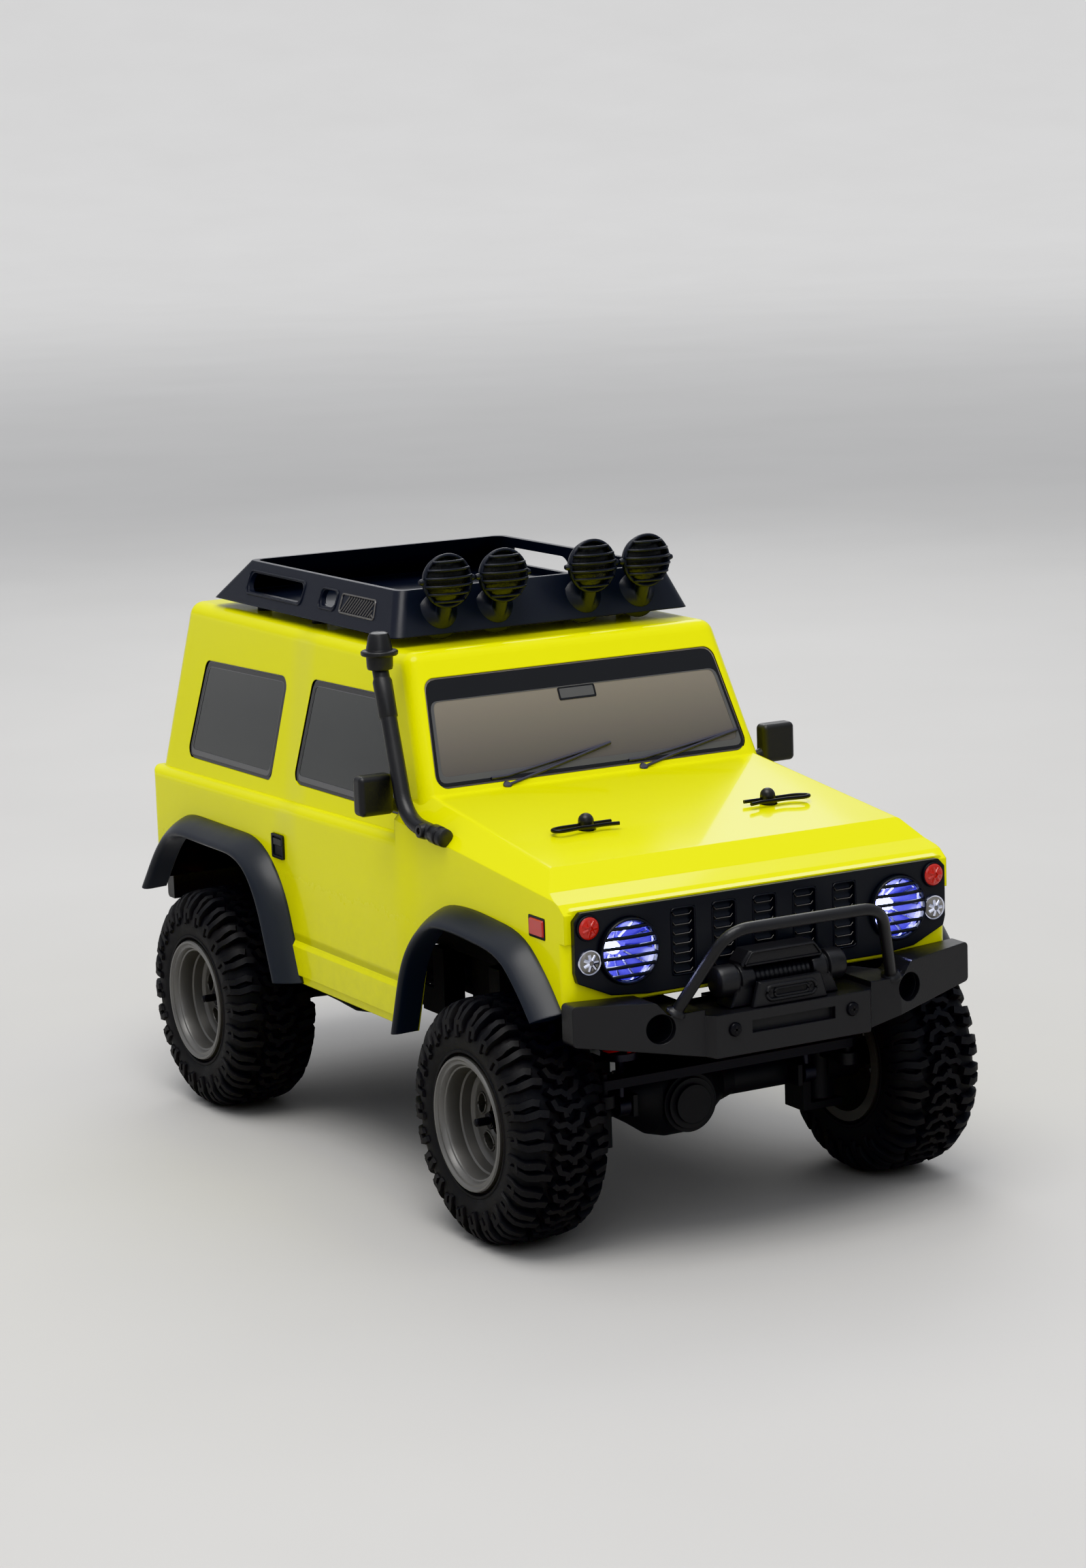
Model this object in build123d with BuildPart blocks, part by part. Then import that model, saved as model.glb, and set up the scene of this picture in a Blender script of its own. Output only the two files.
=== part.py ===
"""A small radio-controlled rock crawler with a boxy off-road body.

Frame: +X forward, +Y to the driver's left, +Z up, millimetres.
The origin lies on the ground, at the centre of the bounding box.
"""

from build123d import *
import os

# Running gear
AXLE_Z = 31.0  # wheel centre height, which is the tyre's radius
FRONT_X = 86.0
REAR_X = -76.0
TYRE_R = 31.0
TYRE_HALF = 12.5
WHEEL_Y = 55.0  # middle plane of each tyre
RIM_R = 17.0
BEAD_R = 15.0
KING_Y = 36.0  # steering axis
ROLL_Z = 28.0  # height of the axis that each axle rolls about
DIFF_Y = -9.0  # the gear casing sits right of the centre
LINK_Y = 20.0
SHOCK_Y = 27.5
SHOCK_X = {"front": 93.4, "rear": -83.4}
FOOT_DX = 13.5  # link feet stand this far behind or ahead of their axle
EAR_GAP = 3.0  # from a link's middle plane to the middle of each ear that holds it
EYE_HALF = 1.2  # half the thickness of a lower link
PIVOT_X = {"front": 28.0, "rear": -18.0}  # chassis ends of the links
PIVOT_Z = 36.0
UPPER_Z = 43.0  # axle end of the upper link
TIE_X = 100.0
TIE_Z = 39.4
PIN_R = 1.0
LOOSE_R = 1.7  # hole of a joint that is left open in the tree
SNUG_R = 1.1  # hole of a joint that carries its piece

# Frame rails
RAIL_IN = 17.5
RAIL_OUT = 21.0
RAIL_LOW = 52.0
RAIL_HIGH = 59.0

# Body
SKIN = 1.2
BODY_HALF = 55.5
SILL_Z = 43.0
ROOF_Z = 139.0
BODY_REAR = -126.0
GRILLE_X = 119.0
NOSE_X = 117.3
PANEL_BACK = 117.35
RACK_Z = 141.5
POST_X = 79.3
POST_Y = 26.9
CLIP_Z = 100.3
CLIP_R = 0.45

os.makedirs("parts", exist_ok=True)


def write(piece, name):
    """Labels a finished piece and writes its STEP file."""
    piece.part.label = name
    export_step(piece.part, f"parts/{name}.step")


def side_plane(y=0.0):
    """Sketch plane with local x along +X and local y along +Z, facing -Y."""
    return Plane((0, y, 0), x_dir=(1, 0, 0), z_dir=(0, -1, 0))


def cross_plane(x=0.0):
    """Sketch plane with local x along +Y and local y along +Z, facing +X."""
    return Plane((x, 0, 0), x_dir=(0, 1, 0), z_dir=(1, 0, 0))


def rod(start, end, radius):
    """Solid cylinder between two points, added to the part being built."""
    run = Vector(*end) - Vector(*start)
    with BuildSketch(Plane(start, z_dir=run)) as section:
        Circle(radius)
    extrude(section.sketch, amount=run.length)


def bore(start, end, radius):
    """Cylindrical hole between two points, cut from the part being built."""
    run = Vector(*end) - Vector(*start)
    with BuildSketch(Plane(start, z_dir=run)) as section:
        Circle(radius)
    extrude(section.sketch, amount=run.length, mode=Mode.SUBTRACT)


def block(low, high, mode=Mode.ADD):
    """Box between its lowest and highest corner."""
    centre = [(a + b) / 2 for a, b in zip(low, high)]
    with Locations(tuple(centre)):
        Box(*[b - a for a, b in zip(low, high)], mode=mode)


def prism(points, y_low, y_high, mode=Mode.ADD, round_r=0.0):
    """Side-view outline of (x, z) points, extruded from y_low to y_high."""
    with BuildSketch(side_plane(y_high)) as outline:
        with BuildLine():
            Polyline(*points, close=True)
        make_face()
        if round_r:
            fillet(outline.vertices(), round_r)
    extrude(outline.sketch, amount=y_high - y_low, mode=mode)


def front_prism(points, x_low, x_high, mode=Mode.ADD, round_r=0.0):
    """Front-view outline of (y, z) points, extruded from x_low to x_high."""
    with BuildSketch(cross_plane(x_low)) as outline:
        with BuildLine():
            Polyline(*points, close=True)
        make_face()
        if round_r:
            fillet(outline.vertices(), round_r)
    extrude(outline.sketch, amount=x_high - x_low, mode=mode)


# ---------------------------------------------------------------- wheels


def spin_profile(points, x, y, side, mode=Mode.ADD):
    """Revolves (distance outward from y, radius) points about the wheel axis at x."""
    with BuildSketch(Plane((x, y, AXLE_Z), x_dir=(0, side, 0), z_dir=(side, 0, 0))) as profile:
        with BuildLine():
            Polyline(*points, close=True)
        make_face()
    revolve(profile.sketch, axis=Axis((x, 0, AXLE_Z), (0, 1, 0)), mode=mode)




def tyre(x, side):
    """Tyre and the foam insert that fills it, as one ring on the rim."""
    half, wall, tread = TYRE_HALF, 17.2, TYRE_R
    outline = [
        (10.6, BEAD_R + 0.05), (10.6, wall), (11.8, 20.0), (half, 24.0), (11.9, 28.0), (9.8, tread - 0.4), (6.0, tread),
        (-6.0, tread), (-9.8, tread - 0.4), (-11.9, 28.0), (-half, 24.0), (-11.8, 20.0), (-10.6, wall),
        (-10.6, BEAD_R + 0.05),
    ]
    with BuildPart() as made:
        spin_profile(outline, x, side * WHEEL_Y, side)
    return made


SPOKES = 5
DISC_OUT = 3.5  # the disc's outer face, outward of the tyre's middle plane
HUB_OUT = 4.0


def rim(x, side):
    barrel_in = BEAD_R - 1.2
    outline = [
        (-12.0, barrel_in + 0.6), (-12.0, RIM_R), (-10.8, RIM_R), (-10.8, BEAD_R), (10.8, BEAD_R), (10.8, RIM_R),
        (12.0, RIM_R), (12.4, RIM_R - 0.6), (12.4, 15.6), (11.6, 14.6), (10.4, barrel_in), (5.5, 13.2),
        (DISC_OUT + 0.4, 11.6), (DISC_OUT, 10.6), (DISC_OUT, 5.0), (HUB_OUT, 4.2), (HUB_OUT, PIN_R + 0.05),
        (-5.0, PIN_R + 0.05), (-5.0, 4.2), (DISC_OUT - 1.8, 5.0), (DISC_OUT - 1.8, 10.6), (0.6, 12.4), (-1.6, barrel_in),
    ]
    centre = Plane((x, side * (WHEEL_Y + 6), AXLE_Z), x_dir=(1, 0, 0), z_dir=(0, -side, 0))
    with BuildPart() as made:
        spin_profile(outline, x, side * WHEEL_Y, side)
        with BuildSketch(centre):
            with PolarLocations(7.9, SPOKES, start_angle=90):
                SlotOverall(4.6, 3.6, rotation=90)
        extrude(amount=9, mode=Mode.SUBTRACT)
    return made


def axle_shaft(x, side):
    """Stub shaft with its wheel hex and threaded end, and the nut that holds the wheel."""
    hex_in, hex_out, nut_out = 46.2, 50.0, WHEEL_Y + HUB_OUT + 2.0
    face = WHEEL_Y + HUB_OUT
    with BuildPart() as made:
        rod((x, side * 39.0, AXLE_Z), (x, side * hex_in, AXLE_Z), 1.5)
        with BuildSketch(Plane((x, side * hex_in, AXLE_Z), z_dir=(0, side, 0))):
            RegularPolygon(3.5, 6, major_radius=False)
        extrude(amount=hex_out - hex_in)
        rod((x, side * hex_out, AXLE_Z), (x, side * 64.0, AXLE_Z), PIN_R)
    with BuildPart() as nut:
        with BuildSketch(Plane((x, side * face, AXLE_Z), z_dir=(0, side, 0))):
            RegularPolygon(2.0, 6, major_radius=False)
            Circle(PIN_R, mode=Mode.SUBTRACT)
        extrude(amount=nut_out - face)
    return made, nut


def write_pair(name, first, second):
    """Writes two separate solids that belong to one node."""
    group = Compound(label=name, children=[first.part, second.part])
    export_step(group, f"parts/{name}.step")


CORNERS = {
    "front_left": (FRONT_X, 1),
    "front_right": (FRONT_X, -1),
    "rear_left": (REAR_X, 1),
    "rear_right": (REAR_X, -1),
}
for corner, (x, side) in CORNERS.items():
    write(tyre(x, side), f"tyre_{corner}")
    write(rim(x, side), f"rim_{corner}")
    write_pair(f"axle_shaft_{corner}", *axle_shaft(x, side))


# ---------------------------------------------------------------- axles


def casing(x):
    """Revolved axle casing: tube and the round bulge round the gears."""
    outline = [
        (-31.0, 0), (-31.0, 4.4), (-26.0, 4.6), (-22.0, 7.0), (-17.0, 10.4), (-12.5, 11.6),
        (-5.5, 11.6), (-1.5, 9.6), (4.0, 5.6), (8.0, 4.4), (31.0, 4.4), (31.0, 0),
    ]
    with BuildSketch(Plane((x, 0, AXLE_Z), x_dir=(0, 1, 0), z_dir=(1, 0, 0))) as profile:
        with BuildLine():
            Polyline(*outline, close=True)
        make_face()
    revolve(profile.sketch, axis=Axis((x, 0, AXLE_Z), (0, 1, 0)))


def link_feet(x, back):
    """Brackets for both lower links, the upper link's stud and the shock pins."""
    pin_x = x - back * FOOT_DX
    for side in (1, -1):
        for ear in (LINK_Y - EAR_GAP, LINK_Y + EAR_GAP):
            block((pin_x - 2.6, side * ear - 0.8, 25.2), (pin_x + 2.6, side * ear + 0.8, 33))
            block((min(pin_x, x), side * ear - 0.8, 28), (max(pin_x, x), side * ear + 0.8, 34))
        rod((pin_x, side * LINK_Y - EAR_GAP, ROLL_Z), (pin_x, side * LINK_Y + EAR_GAP, ROLL_Z), PIN_R)
    block((min(pin_x, x), -2.6, 33), (max(pin_x, x), 2.6, 39.0))
    rod((pin_x, 0, 38.5), (pin_x, 0, UPPER_Z + 3.4), PIN_R)


def shock_pins(x, end):
    """Lower shock pins, carried on short arms from the axle tube."""
    for side in (1, -1):
        low, high = sorted((side * 23.8, side * 25.2))
        block((min(x, SHOCK_X[end]) - 0.1, low, 28.2), (max(x, SHOCK_X[end]) + 2.2, high, 33.8))
        rod((SHOCK_X[end], side * 24.6, AXLE_Z), (SHOCK_X[end], side * 29.6, AXLE_Z), PIN_R)


def snout(x, reach):
    """Hollow drive input on the gear bulge, facing the middle of the car."""
    tip = x - reach * 15.0
    rod((x, DIFF_Y, AXLE_Z), (tip, DIFF_Y, AXLE_Z), 5.4)
    bore((tip, DIFF_Y, AXLE_Z), (tip + reach * 5.0, DIFF_Y, AXLE_Z), 4.2)


def front_axle_housing():
    with BuildPart() as made:
        casing(FRONT_X)
        link_feet(FRONT_X, 1)
        shock_pins(FRONT_X, "front")
        for side in (1, -1):
            low, high = sorted((side * 28.6, side * 31.0))
            block((FRONT_X - 4.4, low, 19.7), (FRONT_X + 4.4, high, 42.3))
            low, high = sorted((side * 30.5, side * 40.4))
            block((FRONT_X - 4.4, low, 19.7), (FRONT_X + 4.4, high, 21.6))
            block((FRONT_X - 4.4, low, 40.4), (FRONT_X + 4.4, high, 42.3))
            rod((FRONT_X, side * KING_Y, 19.0), (FRONT_X, side * KING_Y, 24.2), 1.2)
            rod((FRONT_X, side * KING_Y, 37.8), (FRONT_X, side * KING_Y, 43.0), 1.2)
        block((FRONT_X - 4.4, 4.0, 34), (FRONT_X + 1.5, 5.6, 44.2))
        block((FRONT_X - 4.4, 14.4, 34), (FRONT_X + 1.5, 16.0, 44.2))
        snout(FRONT_X, 1)
    return made


def rear_axle_housing():
    with BuildPart() as made:
        casing(REAR_X)
        link_feet(REAR_X, -1)
        shock_pins(REAR_X, "rear")
        for side in (1, -1):
            rod((REAR_X, side * 30, AXLE_Z), (REAR_X, side * 41, AXLE_Z), 4.4)
            rod((REAR_X, side * 40, AXLE_Z), (REAR_X, side * 45.8, AXLE_Z), 6.0)
            bore((REAR_X, side * 38.5, AXLE_Z), (REAR_X, side * 47, AXLE_Z), 1.56)
        snout(REAR_X, -1)
    return made


def diff_cover(x, out):
    """Domed cover bolted on the side of the gear bulge away from the middle of the car."""
    with BuildPart() as made:
        rod((x + out * 4, DIFF_Y - 1, 30), (x + out * 12.0, DIFF_Y - 1, 30), 7.6)
        rod((x + out * 11.0, DIFF_Y - 1, 30), (x + out * 13.0, DIFF_Y - 1, 30), 6.6)
        rod((x + out * 12.0, DIFF_Y - 1, 30), (x + out * 14.0, DIFF_Y - 1, 30), 5.0)
        with Locations((x, DIFF_Y, AXLE_Z)):
            Cylinder(11.66, 60, rotation=(90, 0, 0), mode=Mode.SUBTRACT)
    return made


def knuckle(side):
    """Steering knuckle with its wheel bearing bore and the arm that the tie rod turns."""
    with BuildPart() as made:
        rod((FRONT_X, side * KING_Y, 22.0), (FRONT_X, side * KING_Y, 40.0), 4.2)
        rod((FRONT_X, side * KING_Y, AXLE_Z), (FRONT_X, side * 45.8, AXLE_Z), 5.4)
        block((FRONT_X, side * KING_Y - 1.7, 33.4), (TIE_X, side * KING_Y + 1.7, 36.6))
        rod((TIE_X, side * KING_Y, 33.4), (TIE_X, side * KING_Y, 36.6), 2.6)
        rod((TIE_X, side * KING_Y, 36.0), (TIE_X, side * KING_Y, 42.0), PIN_R)
        bore((FRONT_X, side * KING_Y, 21.0), (FRONT_X, side * KING_Y, 24.7), 1.26)
        bore((FRONT_X, side * KING_Y, 37.3), (FRONT_X, side * KING_Y, 41.0), 1.26)
        bore((FRONT_X, side * 38.5, AXLE_Z), (FRONT_X, side * 47, AXLE_Z), 1.56)
    return made


HORN_Y = 10.0


def tie_rod():
    """Flat steering bar; the servo horn's pin turns in its middle boss."""
    with BuildPart() as made:
        with BuildSketch(Plane.XY.offset(TIE_Z - 1.2)):
            with Locations((TIE_X, 0)):
                SlotCenterToCenter(2 * KING_Y, 5.0, rotation=90)
            for side in (1, -1):
                with Locations((TIE_X, side * KING_Y)):
                    Circle(SNUG_R, mode=Mode.SUBTRACT)
            with Locations((TIE_X, HORN_Y)):
                Circle(SNUG_R, mode=Mode.SUBTRACT)
        extrude(amount=2.4)
    return made


def servo_horn():
    with BuildPart() as made:
        with BuildSketch(Plane.XY.offset(41.4)):
            with Locations(((FRONT_X + TIE_X) / 2, HORN_Y)):
                SlotCenterToCenter(TIE_X - FRONT_X, 5.0)
            with Locations((FRONT_X, HORN_Y)):
                Circle(1.35, mode=Mode.SUBTRACT)
        extrude(amount=1.8)
        rod((TIE_X, HORN_Y, 42.0), (TIE_X, HORN_Y, 38.0), PIN_R)
    return made


def steering_servo():
    with BuildPart() as made:
        block((FRONT_X - 4.4, 4.0, 44.2), (FRONT_X + 4.4, 16.0, 53.0))
        block((FRONT_X - 4.4, 2.0, 46.6), (FRONT_X + 4.4, 17.0, 47.8))
        rod((FRONT_X, HORN_Y, 44.6), (FRONT_X, HORN_Y, 41.2), 1.3)
    return made


# ---------------------------------------------------------------- links


def lower_link(end, side):
    """Rod with an eye at each end: snug on the chassis pin, loose on the axle pin."""
    back = 1 if end == "front" else -1
    axle_x = (FRONT_X if end == "front" else REAR_X) - back * FOOT_DX
    pivot = (PIVOT_X[end], side * LINK_Y, PIVOT_Z)
    foot = (axle_x, side * LINK_Y, ROLL_Z)
    with BuildPart() as made:
        rod(pivot, foot, 2.0)
        rod((pivot[0], side * LINK_Y - 1.5, PIVOT_Z), (pivot[0], side * LINK_Y + 1.5, PIVOT_Z), 2.9)
        rod((axle_x, side * LINK_Y - 1.5, ROLL_Z), (axle_x, side * LINK_Y + 1.5, ROLL_Z), 3.1)
        span = (pivot[1] - 3, pivot[1] + 3)
        bore((pivot[0], span[0], PIVOT_Z), (pivot[0], span[1], PIVOT_Z), SNUG_R)
        bore((axle_x, span[0], ROLL_Z), (axle_x, span[1], ROLL_Z), LOOSE_R)
        for y in (side * LINK_Y - EYE_HALF - 1, side * LINK_Y + EYE_HALF):
            block((min(pivot[0], axle_x) - 4, y, 20), (max(pivot[0], axle_x) + 4, y + 1, 45), Mode.SUBTRACT)
    return made


def upper_link(end):
    back = 1 if end == "front" else -1
    axle_x = (FRONT_X if end == "front" else REAR_X) - back * FOOT_DX
    pivot_z = 47.4
    with BuildPart() as made:
        rod((PIVOT_X[end], 0, pivot_z), (axle_x - back * 3, 0, UPPER_Z), 1.8)
        rod((PIVOT_X[end], 0, pivot_z - 1.8), (PIVOT_X[end], 0, pivot_z + 1.8), 3.2)
        rod((axle_x, 0, UPPER_Z - 1.5), (axle_x, 0, UPPER_Z + 1.5), 3.2)
        bore((PIVOT_X[end], 0, pivot_z - 4), (PIVOT_X[end], 0, pivot_z + 4), SNUG_R)
        bore((axle_x, 0, UPPER_Z - 4), (axle_x, 0, UPPER_Z + 4), LOOSE_R)
        low, high = sorted((PIVOT_X[end] - back * 5, PIVOT_X[end] + back * 5))
        block((low, -4, pivot_z + 1.8), (high, 4, pivot_z + 6), Mode.SUBTRACT)
    return made


OUTPUT_Z = 41.0
SHAFT_ENDS = {
    "front": ((23.0, DIFF_Y, OUTPUT_Z), (73.6, DIFF_Y, AXLE_Z)),
    "rear": ((-63.6, DIFF_Y, AXLE_Z), (-13.0, DIFF_Y, OUTPUT_Z)),
}
SLEEVE = {"front": (0.2, 0.52), "rear": (0.48, 0.8)}  # thick part, as fractions of the shaft's length


def driveshaft(end):
    """Telescopic shaft with a ball at each end, loose inside both drive snouts."""
    start, finish = [Vector(*point) for point in SHAFT_ENDS[end]]
    first, last = [start + (finish - start) * part for part in SLEEVE[end]]
    with BuildPart() as made:
        rod(tuple(start), tuple(finish), 1.4)
        rod(tuple(first), tuple(last), 2.6)
        for tip in (start, finish):
            with Locations(tuple(tip)):
                Sphere(2.0)
    return made


write(front_axle_housing(), "front_axle_housing")
write(rear_axle_housing(), "rear_axle_housing")
write(diff_cover(FRONT_X, 1), "front_diff_cover")
write(diff_cover(REAR_X, -1), "rear_diff_cover")
write(knuckle(1), "knuckle_left")
write(knuckle(-1), "knuckle_right")
write(tie_rod(), "tie_rod")
write(servo_horn(), "servo_horn")
write(steering_servo(), "steering_servo")
for end in ("front", "rear"):
    write(lower_link(end, 1), f"{end}_lower_link_left")
    write(lower_link(end, -1), f"{end}_lower_link_right")
    write(upper_link(end), f"{end}_upper_link")
    write(driveshaft(end), f"{end}_driveshaft")


# ---------------------------------------------------------------- shocks

BODY_LOW = 62.0  # lower end of each shock cylinder
SHOCK_TOP = 86.0
PERCH_Z = 45.2
COLLAR_Z = 78.0


def shock_bodies():
    """Four cylinders hanging from the towers, each with a spring collar."""
    with BuildPart() as made:
        for end, x in SHOCK_X.items():
            for side in (1, -1):
                y = side * SHOCK_Y
                rod((x, y, BODY_LOW), (x, y, 83.5), 3.0)
                rod((x, y, COLLAR_Z), (x, y, COLLAR_Z + 2.4), 4.8)
                rod((x, y - 1.6, SHOCK_TOP), (x, y + 1.6, SHOCK_TOP), 3.0)
                bore((x, y - 3, SHOCK_TOP), (x, y + 3, SHOCK_TOP), PIN_R + 0.05)
                bore((x, y, BODY_LOW - 1), (x, y, 81.0), 1.2)
    return made


def shock_rod(end, side):
    x, y = SHOCK_X[end], side * SHOCK_Y
    with BuildPart() as made:
        rod((x, y, AXLE_Z + 1), (x, y, 73.0), 1.1)
        rod((x, y - 1.6, AXLE_Z), (x, y + 1.6, AXLE_Z), 2.6)
        bore((x, y - 3, AXLE_Z), (x, y + 3, AXLE_Z), LOOSE_R)
        rod((x, y, PERCH_Z - 1.8), (x, y, PERCH_Z), 4.8)
    return made


COIL_R = 4.0
WIRE_R = 0.55
COILS = 6.5


def springs(end):
    """Pair of coil springs between the collars and the perches."""
    x = SHOCK_X[end]
    height = COLLAR_Z - PERCH_Z - 2 * WIRE_R - 0.1
    coils = []
    for side in (1, -1):
        base = (x, side * SHOCK_Y, PERCH_Z + WIRE_R + 0.05)
        with BuildPart() as coil:
            with BuildLine() as path:
                Helix(pitch=height / COILS, height=height, radius=COIL_R, center=base)
            with BuildSketch(Plane(path.line @ 0, z_dir=path.line % 0)) as wire:
                Circle(WIRE_R)
            sweep(wire.sketch, path=path.line, is_frenet=True)
        coils.append(coil)
    return coils


write(shock_bodies(), "shock_bodies")
for end in ("front", "rear"):
    write(shock_rod(end, 1), f"{end}_shock_rod_left")
    write(shock_rod(end, -1), f"{end}_shock_rod_right")
    write_pair(f"{end}_springs", *springs(end))


# ---------------------------------------------------------------- chassis


def pivot_bracket(end):
    """Brackets of both lower links with their pins, and the pin of the upper link."""
    x = PIVOT_X[end]
    back = 1 if end == "front" else -1
    for side in (1, -1):
        y = side * LINK_Y
        low, high = sorted((x - back * 10, x - back * 4))
        block((low, y - 3.2, 33), (high, y + 3.2, RAIL_LOW))
        low, high = sorted((x - back * 4.1, x + back * 2.6))
        block((low, y - 3.2, 33), (high, y - 1.8, 40))
        block((low, y + 1.8, 33), (high, y + 3.2, 40))
        rod((x, y - 3.0, PIVOT_Z), (x, y + 3.0, PIVOT_Z), PIN_R)
    rod((x, 0, 45.0), (x, 0, RAIL_LOW), PIN_R)


def link_brackets():
    with BuildPart() as made:
        for end in ("front", "rear"):
            pivot_bracket(end)
    return made


def chassis_rails():
    """Two rails, their cross-members and the shock towers."""
    with BuildPart() as made:
        for side in (1, -1):
            low, high = sorted((side * RAIL_IN, side * RAIL_OUT))
            block((-118, low, RAIL_LOW), (112, high, RAIL_HIGH))
        for x in (-116, -40, -18, 28, 106):
            block((x - 2.5, -RAIL_IN - 0.2, RAIL_LOW), (x + 2.5, RAIL_IN + 0.2, RAIL_LOW + 2))
        for end in ("front", "rear"):
            x = SHOCK_X[end]
            for side in (1, -1):
                low, high = sorted((side * (RAIL_OUT - 0.5), side * (RAIL_OUT + 1.2)))
                prism([(x - 8, RAIL_LOW), (x + 8, RAIL_LOW), (x + 3.4, 89.4), (x - 3.4, 89.4)], low, high)
                low, high = sorted((side * RAIL_OUT, side * 30.0))
                rod((x, low, SHOCK_TOP), (x, high, SHOCK_TOP), PIN_R)
    return made


def skid_plate():
    """Flat belly plate, turned up at both ends."""
    outline = [(-9, 31.6), (19, 31.6), (25, 34.0), (24.4, 35.2), (18, 33), (-8, 33), (-14.4, 35.2), (-15, 34.0)]
    with BuildPart() as made:
        prism(outline, -16.4, 16.4)
        block((-8, -23, 31.6), (18, 23, 33.0))
    return made


def gearbox_case():
    with BuildPart() as made:
        prism([(-5, 33.1), (15, 33.1), (15, 57), (10, 62), (-1, 62), (-5, 57)], -16.0, 5.0, round_r=1.5)
        rod((14, DIFF_Y, OUTPUT_Z), (27, DIFF_Y, OUTPUT_Z), 5.2)
        rod((-4, DIFF_Y, OUTPUT_Z), (-17, DIFF_Y, OUTPUT_Z), 5.2)
        bore((19, DIFF_Y, OUTPUT_Z), (28, DIFF_Y, OUTPUT_Z), 4.0)
        bore((-9, DIFF_Y, OUTPUT_Z), (-18, DIFF_Y, OUTPUT_Z), 4.0)
    return made


def motor():
    """Brushed motor lying behind the gear case, with its end bell."""
    with BuildPart() as made:
        rod((-5.2, 5, 62), (-30, 5, 62), 7.8)
        rod((-29, 5, 62), (-32.5, 5, 62), 6.4)
        rod((-32, 5, 62), (-34, 5, 62), 2.4)
    return made


def electronics_box():
    with BuildPart() as made:
        block((36, -15.5, 57), (70, 15.5, 70))
        fillet(made.edges().filter_by(Axis.Z), 2.0)
        block((33, -17.3, 57.0), (73, 17.3, 58.6))
        block((40, -11, 70), (60, 11, 71.4))
    return made


def battery_pack():
    with BuildPart() as made:
        block((-98, -15, 59.2), (-44, 15, 75))
        fillet(made.edges().filter_by(Axis.X), 3.0)
    return made


def body_posts():
    """Two posts through the bonnet, each standing on an arm off its rail."""
    with BuildPart() as made:
        for side in (1, -1):
            y = side * POST_Y
            low, high = sorted((side * RAIL_OUT, side * (POST_Y + 2.4)))
            block((POST_X - 3, low, RAIL_HIGH - 6), (POST_X + 3, high, RAIL_HIGH))
            rod((POST_X, y, RAIL_HIGH - 1), (POST_X, y, 101.4), 2.0)
            with Locations((POST_X, y, 101.2)):
                Sphere(2.0)
            bore((POST_X, y - 4, CLIP_Z), (POST_X, y + 4, CLIP_Z), 0.62)
    return made




def body_clip(side):
    """Sprung wire clip: one straight leg through the post, one bent leg past it."""
    y = side * POST_Y
    bend = [(0, -7), (0, 8), (1.3, 10.6), (3.0, 10.9), (4.2, 9.4), (3.7, 5.8), (2.95, 3.2), (3.4, 0.1), (2.95, -3.2),
            (3.9, -7.2)]
    points = [(POST_X + ahead, y + side * out, CLIP_Z) for ahead, out in bend]
    with BuildPart() as made:
        for start, end in zip(points, points[1:]):
            rod(start, end, CLIP_R)
        with Locations(*points[1:-1]):
            Sphere(CLIP_R)
    return made


write(chassis_rails(), "chassis_rails")
write(link_brackets(), "link_brackets")
write(skid_plate(), "skid_plate")
write(gearbox_case(), "gearbox_case")
write(motor(), "motor")
write(electronics_box(), "electronics_box")
write(battery_pack(), "battery_pack")
write(body_posts(), "body_posts")
write(body_clip(1), "body_clip_left")
write(body_clip(-1), "body_clip_right")


# ---------------------------------------------------------------- bumpers


def front_bumper():
    """Stepped bumper: a deep middle block and shallower wings swept back."""
    face = [
        (-57.4, 56.5), (-34, 52.5), (-22.3, 50), (22.3, 50), (34, 52.5), (57.4, 56.5), (57.4, 66.5), (37, 65.4),
        (34, 62), (-34, 62), (-37, 65.4), (-57.4, 66.5),
    ]
    plan = [(131.3, -22.3), (131.3, 22.3), (129.2, 24), (129.2, 33), (123.3, 57.4), (118, 57.4), (118, 33)]
    plan += [(112, 30), (112, -30), (118, -33), (118, -57.4), (123.3, -57.4), (129.2, -33), (129.2, -24)]
    with BuildPart() as made:
        front_prism(face, 112, 132, round_r=1.2)
        with BuildSketch(Plane.XY.offset(40)) as outline:
            with BuildLine():
                Polyline(*plan, close=True)
            make_face()
        extrude(outline.sketch, amount=40, mode=Mode.INTERSECT)
        block((111, -24, 60.6), (133, 24, 63), Mode.SUBTRACT)
        block((129.8, -12, 55), (132, 12, 58), Mode.SUBTRACT)
        for side in (1, -1):
            bore((120, side * 36, 58.9), (132, side * 36, 58.9), 3.65)
        for side in (1, -1):
            low, high = sorted((side * (RAIL_IN - 0.1), side * (RAIL_OUT + 0.1)))
            block((111, low, RAIL_LOW - 0.1), (114, high, RAIL_HIGH + 0.1), Mode.SUBTRACT)
            block((112, low, RAIL_LOW), (114.2, high, RAIL_HIGH))
    return made


def bull_bar():
    """Round-tube hoop that leans forward from the bumper's top."""
    foot, knee = (127.5, 31.5, 61.6), (137.3, 21.0, 82.6)
    bend = (137.2, 24.0, 80.6)
    with BuildPart() as made:
        for side in (1, -1):
            low, mid, high = [(x, side * y, z) for x, y, z in (foot, bend, knee)]
            rod(low, mid, 1.5)
            rod(mid, high, 1.5)
            for end in (mid, high):
                with Locations(end):
                    Sphere(1.5)
        rod((knee[0], -knee[1], knee[2]), knee, 1.5)
        block((100, -40, 60), (140, 40, 62.05), Mode.SUBTRACT)
    return made


WINCH_X = 124.4
WINCH_Z = 67.0


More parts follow.
